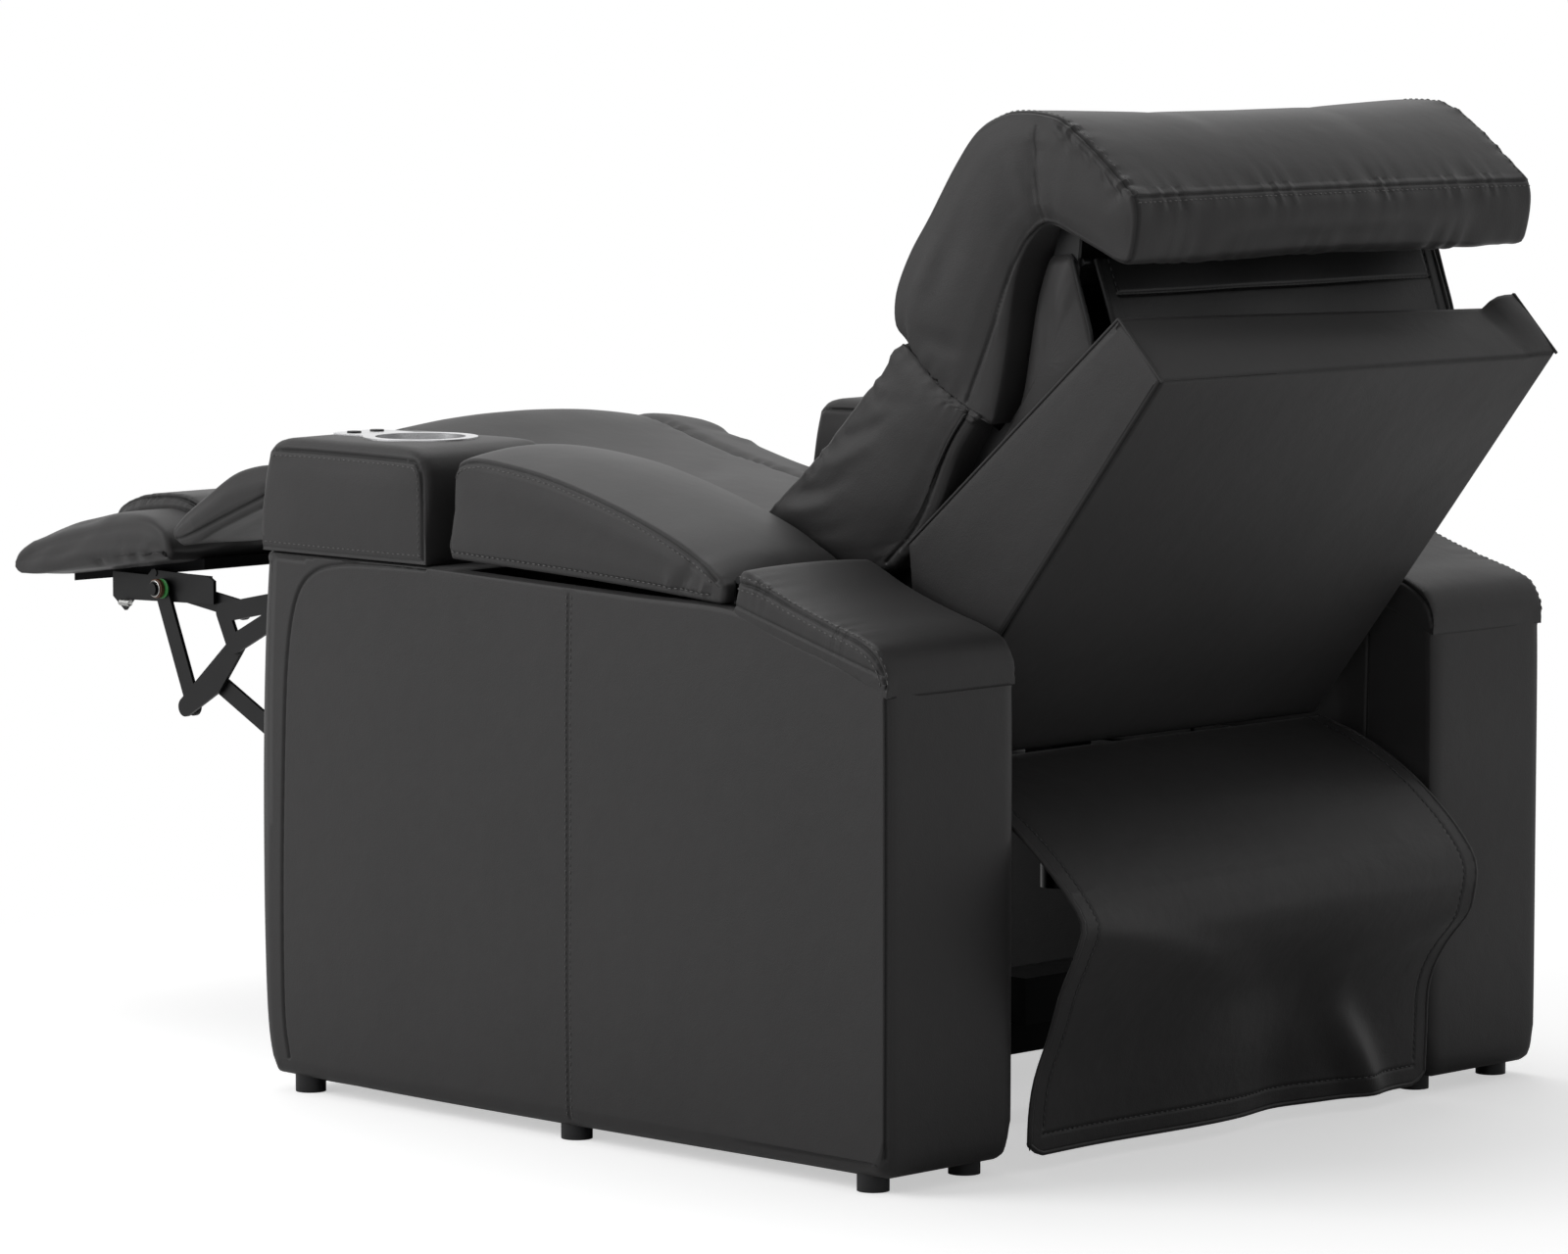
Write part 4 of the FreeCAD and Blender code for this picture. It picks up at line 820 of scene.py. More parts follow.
REAR_SIDE = {
    "bottom": path(228.5, 512, 300, 492.4, 360, 475.8, 420.8, 452),
    "rear": path(420.8, 452, 421.4, 462, 421.2, 474.5),
    "top": path(421.2, 474.5, 416.5, 487, 406, 498.5, 385, 508, 350, 517.5, 300, 533.5, 258, 551.5, 243, 557.5,
                234, 556.5, 229, 548.5),
    "front": path(229, 548.5, 228.3, 540, 228.3, 530, 228.5, 512),
}


def rear_pad_ease(y, z):
    """Square where the rear pad sits on the arm and at its rear."""
    above = np.clip((z - (0.5192 - (y - 0.2285) * 0.2764)) / 0.02, 0.03, 1.0)
    return above * (1 - 0.6 * np.clip((y - 0.39) / 0.02, 0, 1))


def make_rear_pad(side, sign):
    item = upholstery("arm_rear_pad_" + side, span(sign, ARM_X), REAR_SIDE, rim=0.007, ease=rear_pad_ease,
                      crown=0.003, bulge=0.001, pitch=0.005)
    outer = ARM_HIGH.x
    high = path(231, 545, 262, 539.5, 300, 526.5, 350, 510.5, 385, 500, 404, 490, 415, 477, 419.5, 462)
    low = path(230.5, 523.5, 300, 504.5, 360, 488, 417, 472.5)
    sew(item, [
        (side_line(sign, high, outer - 0.0015), 1.0, 1.0 * sign, -1.1 * sign),
        (side_line(sign, high, ARM_LOW.x + 0.0015), 1.0),
        (side_line(sign, low, outer), 0.6),
    ])
    ruffle(item, side_line(sign, high, outer - 0.02), 0.02, 0.0006, 0.017, 3.0 * sign)
    dress(item, "base", ["arm_rear_block_" + side])


LID_SIDE = {
    "bottom": path(-150, 540.8, -80, 538, 0, 535, 100, 530, 204, 523.2),
    "rear": path(204, 523.2, 212.5, 524.5, 216.5, 531, 216.5, 541),
    "top": path(216.5, 541, 205, 555, 185, 570, 141, 590.5, 64, 615.5, -15, 635, -70, 643.5, -110, 647, -132, 645.5,
                -147, 638, -154.5, 624),
    "front": path(-154.5, 624, -156, 600, -156, 575, -154.8, 553, -150, 540.8),
}


def lid_crown(y, z):
    """The crown belongs to the top of the lid."""
    return np.clip((z - (0.545 - np.clip(y, -0.15, 0.2) * 0.05)) / 0.035, 0.0, 1.0)


def make_lid_pad(side, sign):
    item = upholstery("lid_pad_" + side, span(sign, ARM_X), LID_SIDE, rim=0.006, crown=0.0095,
                      crown_ease=lid_crown, bulge=0.003, pitch=0.006)
    outer = ARM_HIGH.x
    edge = path(-150.5, 618, -142, 628, -120, 634.5, -90, 634.5, -15, 624.5, 64, 605, 135, 581.5, 182, 561, 205, 544.5)
    foot = path(-149.5, 548, -80, 545.5, 0, 542.5, 100, 537.5, 200, 531)
    front = path(-151.5, 614, -153, 600, -153.5, 575, -150, 550)
    side_folds(item, sign, outer, [
        (path(155, 527, 170, 545, 178, 562), 0.006, -0.0022, 0.3),
        (path(140, 529, 150, 544, 152, 558), 0.005, 0.0016, 0.3),
        (path(183, 525, 192, 538, 196, 548), 0.004, 0.0018, 0.3),
    ])
    sew(item, [
        (side_line(sign, edge, outer - 0.0015), 1.0, -sign),
        (side_line(sign, edge, ARM_LOW.x + 0.0015), 1.0),
        (side_line(sign, foot, outer), 0.25, 0.0),
        (side_line(sign, front, outer), 0.7),
    ])
    dress(item, side + "_lid", ["arm_lid_" + side])


def make_arm_underside(side, sign):
    """The black cloth stapled under an arm."""
    alone()
    bpy.ops.mesh.primitive_grid_add(x_subdivisions=18, y_subdivisions=80, size=1.0,
                                    location=(sign * (ARM_LOW.x + ARM_HIGH.x) / 2, 0.0, ARM_LOW.z - 0.0122))
    item = bpy.context.view_layer.objects.active
    item.name = "arm_dust_cloth_" + side
    bpy.ops.transform.resize(value=(ARM_HIGH.x - ARM_LOW.x - 0.045, ARM_HIGH.y - ARM_LOW.y - 0.06, 1.0))
    bpy.ops.object.transform_apply(location=True, rotation=True, scale=True)
    thicken(item, 0.0012, 1.0)
    start_finish(item, "liner_felt")
    dress(item, "base", [])


# Seat and legrest

SEAT_SIDE = {
    "bottom": path(-588, 503, -450, 485.5, -200, 454.5, 52, 423.5),
    "rear": path(52, 423.5, 58.5, 445, 57.5, 475, 50, 494, 30, 507),
    "top": path(30, 507, -30, 521.5, -130, 541, -230, 560, -320, 577.5, -400, 594, -460, 609, -510, 623.5, -550, 632.5,
                -578, 631, -597, 618),
    "front": path(-597, 618, -606.5, 598, -609, 570, -603.5, 540, -595, 517, -588, 503),
}


def seat_crown(y, z):
    """Only the top and the front of the seat are crowned."""
    return np.clip((z - (0.50 - (y + 0.59) * 0.123)) / 0.08, 0.0, 1.0)


def make_seat_cover():
    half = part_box("seat_cushion")[1].x
    item = upholstery("seat_cover", (-half, half), SEAT_SIDE, rim=0.016, crown=0.026,
                      crown_ease=seat_crown, bulge=0.001)
    channel = 0.17
    long_line = [(y, z) for y, z in SEAT_SIDE["top"] if y > -0.58]
    lines = both(long_line, channel)
    edges = both(SEAT_SIDE["top"] + SEAT_SIDE["front"], half - 0.006)
    across = [(-half, -0.597, 0.585), (0.0, -0.604, 0.606), (half, -0.597, 0.585)]
    swell(item, lines + edges + [across] + ribs(SEAT_SIDE["bottom"], half, (0.2, 0.6, 0.97)), 0.008, 1.0, 0.004)
    for sign in (1, -1):
        crease(item, [(side_line(sign, long_line, channel), 0.009, -0.005, 0.0)])
        ruffle(item, side_line(sign, long_line, channel), 0.022, 0.0010, 0.021, 1.0 + sign)
    crease(item, [
        ([(0.18, -0.50, 0.615), (0.10, -0.40, 0.592), (0.0, -0.33, 0.58)], 0.02, -0.002, 0.4),
        ([(-0.2, -0.44, 0.59), (-0.08, -0.34, 0.58), (0.05, -0.27, 0.567)], 0.018, -0.0018, 0.4),
        ([(-0.292, -0.53, 0.59), (-0.26, -0.50, 0.60), (-0.2, -0.49, 0.61)], 0.010, -0.003, 0.4),
        ([(-0.292, -0.50, 0.57), (-0.26, -0.47, 0.59), (-0.22, -0.46, 0.60)], 0.008, 0.003, 0.4),
    ])
    sew(item, [(line, 1.0) for line in lines] + [(edge, 0.8) for edge in edges]
        + [(across, 0.9, 1.0)])
    dress(item, "seat", ["seat_cushion"])


KNEE_SIDE = {
    "bottom": path(-778, 500.5, -755, 505.5, -720, 520.5, -680, 536.5, -650, 548, -630, 558, -613, 563.5),
    "rear": path(-613, 563.5, -611.8, 565, -613, 566.7),
    "top": path(-613, 566.7, -620, 577, -632, 588, -652, 590.5, -695, 580, -740, 554.5, -772, 534.5, -787, 522),
    "front": path(-787, 522, -793, 514.5, -790, 506, -778, 500.5),
}


def make_knee_cover():
    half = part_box("knee_pad")[1].x
    item = upholstery("knee_cover", (-half, half), KNEE_SIDE, rim=0.007, bulge=0.004, pitch=0.0065)
    edges = both(KNEE_SIDE["bottom"] + KNEE_SIDE["top"], half - 0.004)
    swell(item, edges + ribs(KNEE_SIDE["bottom"], half, (0.3, 0.9))
          + [[(-half, -0.6125, 0.565), (half, -0.6125, 0.565)]], 0.006, 0.8, 0.005)
    crease(item, [
        ([(half - 0.02, -0.78, 0.527), (half - 0.08, -0.73, 0.562), (half - 0.13, -0.69, 0.582)], 0.012, -0.002, 0.3),
        ([(half - 0.10, -0.78, 0.527), (half - 0.15, -0.72, 0.566), (half - 0.2, -0.66, 0.59)], 0.012, 0.002, 0.3),
        ([(0.12, -0.76, 0.525), (0.05, -0.70, 0.558), (-0.02, -0.65, 0.58)], 0.010, -0.002, 0.3),
        ([(-0.12, -0.75, 0.53), (-0.18, -0.69, 0.56), (-0.2, -0.65, 0.58)], 0.010, -0.002, 0.3),
    ])
    sides = both(path(-785, 506.5, -765, 512, -720, 530, -670, 550, -625, 568), half)
    sew(item, [(line, 0.9) for line in sides])
    dress(item, "knee_bridge", ["knee_pad"])


FOOT_SIDE = {
    "bottom": path(-1036, 454.5, -1005, 456, -930, 465.8, -860, 475, -797, 483.6),
    "rear": path(-797, 483.6, -795.5, 490, -796.5, 500),
    "top": path(-796.5, 500, -802, 512, -815, 521, -840, 526.5, -893, 522.5, -934, 515, -972, 507, -1003, 498,
                -1030, 488),
    "front": path(-1030, 488, -1046, 477, -1051.5, 466.5, -1047.5, 457.5, -1036, 454.5),
}


def make_foot_cover():
    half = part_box("footrest_pad")[1].x
    item = upholstery("footrest_cover", (-half, half), FOOT_SIDE, rim=0.011, bulge=0.003,
                      ease=low_is_square(0.452, 0.02), pitch=0.0065)
    edges = both(FOOT_SIDE["bottom"], half - 0.01)
    swell(item, edges + ribs(FOOT_SIDE["bottom"], half, (0.1, 0.5)), 0.005, 0.7, 0.004)
    crease(item, [
        ([(half, -0.845, 0.478), (half - 0.004, -0.848, 0.495), (half - 0.015, -0.85, 0.51)], 0.005, -0.0035, 0.2),
        ([(half, -0.832, 0.48), (half - 0.004, -0.83, 0.50), (half - 0.02, -0.825, 0.512)], 0.005, 0.003, 0.2),
        ([(half, -0.905, 0.470), (half - 0.003, -0.906, 0.484)], 0.004, -0.0035, 0.3),
        ([(half - 0.02, -1.03, 0.487), (half - 0.08, -0.99, 0.502), (half - 0.16, -0.96, 0.510)], 0.014, 0.002, 0.3),
        ([(half, -0.873, 0.4755), (half, -0.868, 0.492), (half - 0.004, -0.871, 0.508)], 0.003, -0.0045, 0.2),
        ([(0.10, -1.035, 0.482), (0.04, -0.99, 0.5), (0.0, -0.96, 0.507)], 0.012, -0.002, 0.3),
        ([(-0.12, -1.035, 0.482), (-0.15, -0.99, 0.5), (-0.19, -0.95, 0.507)], 0.012, -0.002, 0.3),
    ])
    lip = [(-half + 0.006, -1.047, 0.4600), (0.0, -1.049, 0.4600), (half - 0.006, -1.047, 0.4600)]
    sew(item, [(lip, 1.0)])
    dress(item, "footrest", ["footrest_pad"])


ROLL_SIDE = {
    "bottom": path(-980, 496, -940, 503.5, -892, 512, -840, 516.5, -806, 513),
    "rear": path(-806, 513, -801, 518, -802.5, 526),
    "top": path(-802.5, 526, -817, 537.5, -850, 545, -905, 543, -945, 534, -966, 523, -979, 510),
    "front": path(-979, 510, -983, 503, -980, 496),
}


def make_foot_roll():
    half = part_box("footrest_bolster")[1].x
    item = upholstery("footrest_roll", (-half, half), ROLL_SIDE, rim=0.006, bulge=0.004, pitch=0.0055)
    places = coordinates(item)
    share = np.clip((np.abs(places[:, 0]) - half + 0.05) / 0.05, 0, 1)
    places[:, 1] = -0.893 + (places[:, 1] + 0.893) * (1 - 0.10 * share ** 2)
    put_back(item, places)
    for sign in (1, -1):
        ruffle(item, side_line(sign, path(-970, 512, -900, 532, -820, 530), half - 0.004), 0.012,
               0.0014, 0.013, 1.0)
        sew(item, [(side_line(sign, path(-974, 511, -953, 525.5, -928, 535, -881, 540.5, -850, 539.5,
                                         -829, 533), half - 0.002), 1.0)])
    dress(item, "footrest", ["footrest_bolster"])


# Back

LUMBAR_SIDE = {
    "bottom": path(64, 553, 69, 538, 84, 528, 130, 524, 196, 532, 255, 547.5),
    "rear": path(255, 547.5, 296, 588, 330, 656, 358, 694),
    "top": path(358, 694, 340, 703.5, 312, 721.5, 284, 743, 264, 756),
    "front": path(264, 756, 250, 750, 239, 732.5, 213, 706, 156, 649, 105, 605, 72, 577, 63, 564, 64, 553),
}


def low_back_ease(y, z):
    """Little rounding where the upper cushion sits on the lower one."""
    joint = np.abs(z - (0.756 - (y - 0.264) * 0.69)) < 0.009
    behind = y > 0.262 + (z - 0.55) * 0.55
    return np.where(joint & (y > 0.262) & (y < 0.356), 0.1, np.where(behind, 2.4, 1.0))


BACK_CHANNEL = 0.205


def make_lumbar_cover():
    half = BACK_HALF
    item = upholstery("lumbar_cover", (-half, half), LUMBAR_SIDE, rim=0.006, bulge=0.004, ease=low_back_ease)
    channel = BACK_CHANNEL
    lines = both(LUMBAR_SIDE["front"], channel)
    edges = both(LUMBAR_SIDE["front"], half - 0.005)
    rears = both([(y - 0.011, z + 0.004) for y, z in LUMBAR_SIDE["rear"]], half - 0.001)
    swell(item, lines + edges + rears + both(LUMBAR_SIDE["bottom"], 0.5 * half)
          + ribs(LUMBAR_SIDE["top"], half, (0.1, 0.5, 0.9)), 0.008, 1.0, 0.006)
    for sign in (1, -1):
        crease(item, [(side_line(sign, LUMBAR_SIDE["front"], channel), 0.009, -0.004, 0.0)])
        side_folds(item, sign, half, [
            (path(85, 575, 120, 572, 170, 575, 215, 585), 0.007, -0.0045, 0.3),
            (path(100, 592, 140, 594, 185, 604), 0.007, 0.004, 0.3),
            (path(120, 606, 165, 614, 210, 630), 0.006, -0.004, 0.3),
            (path(150, 634, 195, 645, 245, 668), 0.007, 0.003, 0.3),
            (path(180, 660, 225, 674, 270, 694), 0.006, -0.003, 0.3),
            (path(225, 703, 250, 700, 290, 700), 0.005, -0.003, 0.3),
        ])
        ruffle(item, side_line(sign, LUMBAR_SIDE["front"][1:-1], half - 0.004), 0.02, 0.0013, 0.018, 2.0 + sign)
        ruffle(item, side_line(sign, LUMBAR_SIDE["top"], half - 0.004), 0.016, 0.0014, 0.014, 1.0 + sign)
    sew(item, [(line, 1.0) for line in lines] + [(edge, 0.9) for edge in edges + rears])
    dress(item, "back", ["lumbar_cushion"])


HEAD_SIDE = {
    "bottom": path(266, 756.5, 286, 743, 312, 722.5, 333, 708, 352, 696, 372, 686),
    "rear": path(372, 686, 379, 712, 386.5, 747, 392, 779, 399, 809, 409, 838, 422, 857, 437, 869.5, 452, 869,
                 477, 859.5, 503, 849, 524, 840, 535, 837.5),
    "top": path(535, 837.5, 543.5, 842, 549.5, 865, 550.5, 885, 546.5, 900.5),
    "front": path(546.5, 900.5, 522, 921, 488, 947.5, 452, 968.5, 405, 972.5, 378, 966.5, 353, 953, 326, 921, 295, 875,
                  272, 843, 256, 812.5, 250.5, 790, 253, 769.5, 266, 756.5),
}
CREST = (0.4325, 0.958)
PLEAT = [(0.440, 0.8710), (0.4355, 0.914), CREST]


def head_ease(y, z):
    """The rear of the upper cushion is rounded well, its joint with the lower one is not."""
    joint = (z < 0.757 - (y - 0.264) * 0.62) & (y > 0.262)
    behind = (y > 0.345 + (z - 0.70) * 0.4) & (y < 0.42) & (z < 0.86)
    return np.where(joint, 0.1, np.where(behind, 1.0 + 4.0 * np.clip((0.82 - z) / 0.11, 0, 1), 1.0))


def make_head_cover():
    """The upper back cushion and the headrest share one skin, which bends where the headrest tilts."""
    half = BACK_HALF
    item = upholstery("head_cover", (-half, half), HEAD_SIDE, rim=0.006, bulge=0.005, ease=head_ease, pitch=0.0065)
    channel = BACK_CHANNEL
    front = HEAD_SIDE["front"]
    rear = HEAD_SIDE["rear"]
    lines = both(front[8:], channel)
    edges = both(front, half - 0.003)
    corner = path(345, 706.6, 372.5, 765, 396.5, 822, 409, 843, 422, 858) + rear[8:]
    rears = both(corner, half - 0.001)
    corners = both(HEAD_SIDE["top"], half - 0.003)
    crests = both(PLEAT, half)
    back_edge = [(-half + 0.003, 0.546, 0.898), (-0.15, 0.5475, 0.8995), (0.15, 0.5475, 0.8995),
                 (half - 0.003, 0.546, 0.898)]
    swell(item, lines + edges + rears + corners + crests + [back_edge]
          + ribs(HEAD_SIDE["bottom"], half, (0.1, 0.5, 0.9))
          + ribs(rear[:8], half, (0.1, 0.4, 0.7)), 0.008, 1.0, 0.004)
    for sign in (1, -1):
        crease(item, [(side_line(sign, front[8:], channel), 0.008, -0.0035, 0.1)])
        side_folds(item, sign, half, [
            (PLEAT, 0.006, -0.0045, 0.25),
            (path(430, 880, 415, 905, 402, 940), 0.007, 0.0035, 0.3),
            (path(424, 874, 402, 890, 386, 915), 0.006, -0.003, 0.3),
            (path(443, 870, 440, 905, 432, 945), 0.006, 0.003, 0.3),
            (path(452, 868, 456, 900, 458, 930), 0.005, -0.0022, 0.3),
            (path(300, 790, 320, 830, 350, 875), 0.016, -0.002, 0.3),
            (path(280, 765, 300, 762, 345, 750), 0.010, -0.0025, 0.3),
            (path(280, 800, 300, 820, 315, 860), 0.010, 0.002, 0.3),
        ])
        ruffle(item, side_line(sign, [CREST, (0.452, 0.9665), (0.488, 0.9445), (0.522, 0.918), (0.540, 0.8985)],
                               half - 0.002), 0.020, 0.0012, 0.013, 1.0 + sign)
        ruffle(item, side_line(sign, HEAD_SIDE["bottom"], half - 0.004), 0.014, 0.0016, 0.014, 4.0 + sign)
    ruffle(item, back_edge, 0.022, 0.0011, 0.024, 2.0)
    ruffle(item, [(-half, 0.533, 0.845), (half, 0.533, 0.845)], 0.02, 0.0012, 0.030, 5.0)
    sew(item, [(line, 1.0) for line in lines]
        + [(edge, 1.0, -sign) for edge, sign in zip(edges, (1, -1))]
        + [(line, 0.8) for line in rears + corners] + [(line, 0.3) for line in crests]
        + [(back_edge, 1.0, 1.0)])
    dress(item, "back", ["upper_cushion", "headrest_cushion"], rides=False)
    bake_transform(item)


BOX_LOW_FRONT = (0.290, 0.3685)
BOX_REAR = (0.5815, 0.735)
BOX_CAP = (0.5295, 0.789)
BOX_FRONT = (0.2705, 0.570)
BOX_SIDE = {
    "bottom": [BOX_LOW_FRONT, (0.436, 0.5515), BOX_REAR],
    "rear": [BOX_REAR, (0.557, 0.7635), BOX_CAP],
    "top": [BOX_CAP, (0.40, 0.6795), BOX_FRONT],
    "front": [BOX_FRONT, (0.2805, 0.47), BOX_LOW_FRONT],
}


def make_box_cover():
    """The upholstered shell behind the back cushions: open towards them."""
    half = BACK_HALF
    item = upholstery("back_box_cover", (-half, half), BOX_SIDE, rim=0.005, pitch=0.010, bulge=0.0015)
    lean = math.atan2(BOX_REAR[1] - BOX_LOW_FRONT[1], BOX_REAR[0] - BOX_LOW_FRONT[0])
    wall = 0.0118
    sine, cosine = math.sin(lean), math.cos(lean)
    corner = (BOX_REAR[0] - wall * (sine + cosine), BOX_REAR[1] + wall * (cosine - sine))
    low = (BOX_LOW_FRONT[0] - wall * sine - 0.03 * cosine, BOX_LOW_FRONT[1] + wall * cosine - 0.03 * sine)
    cap = math.atan2(BOX_CAP[1] - BOX_REAR[1], BOX_CAP[0] - BOX_REAR[0])
    high = (corner[0] + 0.074 * math.cos(cap), corner[1] + 0.074 * math.sin(cap))
    outline = [low, corner, high, (high[0] - 0.06, high[1] - 0.02), (0.19, 0.59), (0.19, 0.352)]
    verts = [(x, y, z) for x in (wall - half, half - wall) for y, z in outline]
    sides = [(i, (i + 1) % 6, 6 + (i + 1) % 6, 6 + i) for i in range(6)]
    tool = mesh_object("box_hollow", verts, sides + [tuple(range(6)), tuple(range(11, 5, -1))])
    subtract(item, tool)
    places = coordinates(item)
    near_cap = np.exp(-((places[:, 1] - BOX_CAP[0]) / 0.05) ** 2 - ((places[:, 2] - BOX_CAP[1]) / 0.05) ** 2)
    far = np.clip((half - 0.03 - places[:, 0]) / (2 * half - 0.075), 0, 1)
    ear = np.clip((0.045 - half - places[:, 0]) / 0.03, 0, 1)
    places[:, 2] -= near_cap * 0.012 * far * (1 - ear) ** 2
    places[:, 1] -= near_cap * 0.004 * far * (1 - ear)
    put_back(item, places)
    crease(item, [([(-0.2, 0.44, 0.556), (0.2, 0.44, 0.556)], 0.16, 0.003, 0.3)])
    across = [(x, *BOX_REAR) for x in (0.005 - half, 0.0, half - 0.005)]
    sew(item, [(line, 1.0) for line in both([BOX_LOW_FRONT, BOX_REAR], half - 0.002) + [across]])
    joined(item, [tube(side_line(sign, spaced(ends, count), half - 0.0015), 0.0016, "charcoal_leather")
                  for sign in (1, -1) for ends, count in (([BOX_REAR, BOX_CAP], 8), ([BOX_CAP, BOX_FRONT], 30))])
    dress(item, "back", ["back_box"])


LEAF_X = 0.2575


def make_side_leather(side, sign):
    """The thin leather leaf that closes the gap between the cushions and the neck panel."""
    outline = path(438, 842, 424, 838, 409, 800, 398, 744, 391, 712, 376, 676, 356, 655, 380, 655, 430, 700, 478, 744,
                   474, 772, 462, 808, 452, 841)
    ring = spaced(outline + outline[:1], 90)[:-1]
    middle = ring.mean(axis=0)
    verts = []
    faces = []
    count = len(ring)
    shares = (1.0, 0.9, 0.7, 0.45, 0.2)
    for face in (1, -1):
        base = len(verts)
        for share in shares:
            puff = 0.0042 * (1 - share ** 6) + 0.0009
            verts += [(sign * LEAF_X + face * puff, *(middle + (place - middle) * share)) for place in ring]
        verts.append((sign * LEAF_X + face * 0.0052, *middle))
        for level in range(len(shares) - 1):
            start = base + level * count
            faces += [(start + i, start + (i + 1) % count, start + count + (i + 1) % count, start + count + i)
                      for i in range(count)]
        last = base + (len(shares) - 1) * count
        faces += [(last + i, last + (i + 1) % count, len(verts) - 1) for i in range(count)]
    half = len(verts) // 2
    faces += [(i, (i + 1) % count, half + (i + 1) % count, half + i) for i in range(count)]
    item = mesh_object("side_leather_" + side, verts, faces)
    start_finish(item)
    side_folds(item, sign, 0.262, [
        (path(430, 835, 438, 815, 452, 790), 0.006, 0.003, 0.3),
        (path(418, 815, 425, 780, 432, 740), 0.008, -0.002, 0.3),
    ])
    edge = path(452, 838, 462, 808, 474, 772, 476.5, 746)
    joined(item, [tube(side_line(sign, spaced(edge, 30), LEAF_X + 0.0015), 0.0022, "black_leather")])
    return item


def make_side_leathers():
    for leaf in [make_side_leather(side, sign) for side, sign in SIDES]:
        dress(leaf, "back", ["back_side_panels"])


NECK_PATH = path(461.5, 838.5, 465.5, 828, 478, 796, 489, 764, 496.8, 738.5)


def cloth_grid(name, path, half, across, along, lift=None):
    """A sheet: the path runs down it, and lift gives each point's shift."""
    line = spaced(path, along)
    verts = []
    for j, (y, z) in enumerate(line):
        for i in range(across + 1):
            x = half - 2 * half * i / across
            verts.append(lift(x, y, z, j / along) if lift else (x, y, z))
    wide = across + 1
    faces = [(j * wide + i, j * wide + i + 1, (j + 1) * wide + i + 1, (j + 1) * wide + i)
             for j in range(along) for i in range(across)]
    return mesh_object(name, verts, faces)


def thicken(item, thickness, offset=0.0):
    alone(item)
    thick = item.modifiers.new("thick", "SOLIDIFY")
    thick.thickness = thickness
    thick.offset = offset
    thick.use_even_offset = offset == 0.0
    bpy.ops.object.modifier_apply(modifier="thick")
    smooth(item)


def make_neck_leather():
    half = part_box("neck_panel")[1].x
    def lift(x, y, z, down):
        wave = 0.0012 * math.sin(x * 34.0) * math.sin(down * math.pi)
        return x, y + wave, z
    item = cloth_grid("neck_leather", NECK_PATH, half, 120, 26, lift)
    thicken(item, 0.0026)
    start_finish(item, "black_leather")
    hem = 0.016
    top = [(half - hem, 0.4755, 0.8065), (0.0, 0.4755, 0.8065), (hem - half, 0.4755, 0.8065)]
    sides = [[(sign * (half - hem), y + 0.001, z) for y, z in NECK_PATH] for sign in (1, -1)]
    sew(item, [(top, 0.9), (sides[0], 0.5, 0.0), (sides[1], 0.5, 0.0)], "black_thread")
    joined(item, [tube(line, 0.0024, "black_leather") for line in both(spaced(NECK_PATH, 24), half - 0.001)])
    reach_of(NECK_PATH)
    dress(item, "back", ["neck_panel"])


# Rear flap

FLAP_PATH = path(290.5, 363.5, 345, 347.5, 400, 320.5, 448, 285, 480, 251.5, 488.5, 228, 480, 200, 460, 165, 443, 130,
                 432, 95, 426.5, 55, 424.5, 16.5)


def hill(value, centre, width):
    return math.exp(-((value - centre) / width) ** 2)


def flap_shape(x, y, z, down):
    """The sheet sags in the middle, is pushed in low down, and its hem swings in and out."""
    lean = 1.0 if down < 0.45 else 0.5
    dent = -0.026 * hill(x, -0.045, 0.085) * hill(z, 0.150, 0.045)
    ridge_left = 0.010 * hill(z, 0.155 + 0.30 * x, 0.020) * min(1.0, max(0.0, (x + 0.02) / 0.12))
    ridge_right = 0.012 * hill(z, 0.130 - 0.32 * (x + 0.10), 0.020) * min(1.0, max(0.0, (-0.09 - x) / 0.05))
    fold = 0.030 * hill(x, -0.150 - 0.55 * (0.10 - z), 0.024) * hill(z, 0.05, 0.055)
    hollow = -0.020 * hill(x, -0.075, 0.045) * hill(z, 0.03, 0.07)
    swing = 0.006 * math.sin(x * 22.0 + 0.6) * max(0.0, 1 - z / 0.18)
    sag = -0.006 * hill(x, 0.0, 0.16) * hill(z, 0.30, 0.05)
    out = (dent + ridge_left + ridge_right + fold + hollow + swing + sag) * lean
    narrow = 1 - 0.035 * hill(z, 0.128, 0.04)
    corner = 0.010 * max(0.0, abs(x) / 0.285 - 0.95) / 0.05 * hill(z, 0.0165, 0.006)
    return x * narrow, min(y + out, 0.497), z + corner - 0.3 * out * (z > 0.24)


def make_flap():
    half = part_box("flap_upper")[1].x
    item = cloth_grid("rear_flap", FLAP_PATH, half, 150, 124, flap_shape)
    thicken(item, 0.0030)
    start_finish(item, "flap_leather")
    hem = 0.018
    line = [(y, z, k / 40) for k, (y, z) in enumerate(spaced(FLAP_PATH, 40))]
    sides = [[flap_shape(x, *place) for place in line[:-2]] for x in (half - hem, hem - half)]
    borders = [[flap_shape(x, *place) for place in line] for x in (half, -half)]
    low_y, low_z, share = line[-2]
    foot = [flap_shape(x, low_y, low_z + 0.006, share) for x in np.linspace(half - hem, hem - half, 40)]
    hem_edge = [flap_shape(x, *line[-1]) for x in np.linspace(half, -half, 60)]
    sew(item, [([(x, y + 0.0015, z) for x, y, z in run], 0.35, 0.0) for run in sides + [foot]], "black_thread")
    joined(item, [tube(run, 0.0026, "flap_leather") for run in borders + [hem_edge]])
    reach_of(FLAP_PATH)
    dress(item, "flap_top", ["flap_upper", "flap_lower"], rides=False)
    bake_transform(item)


# Hard parts

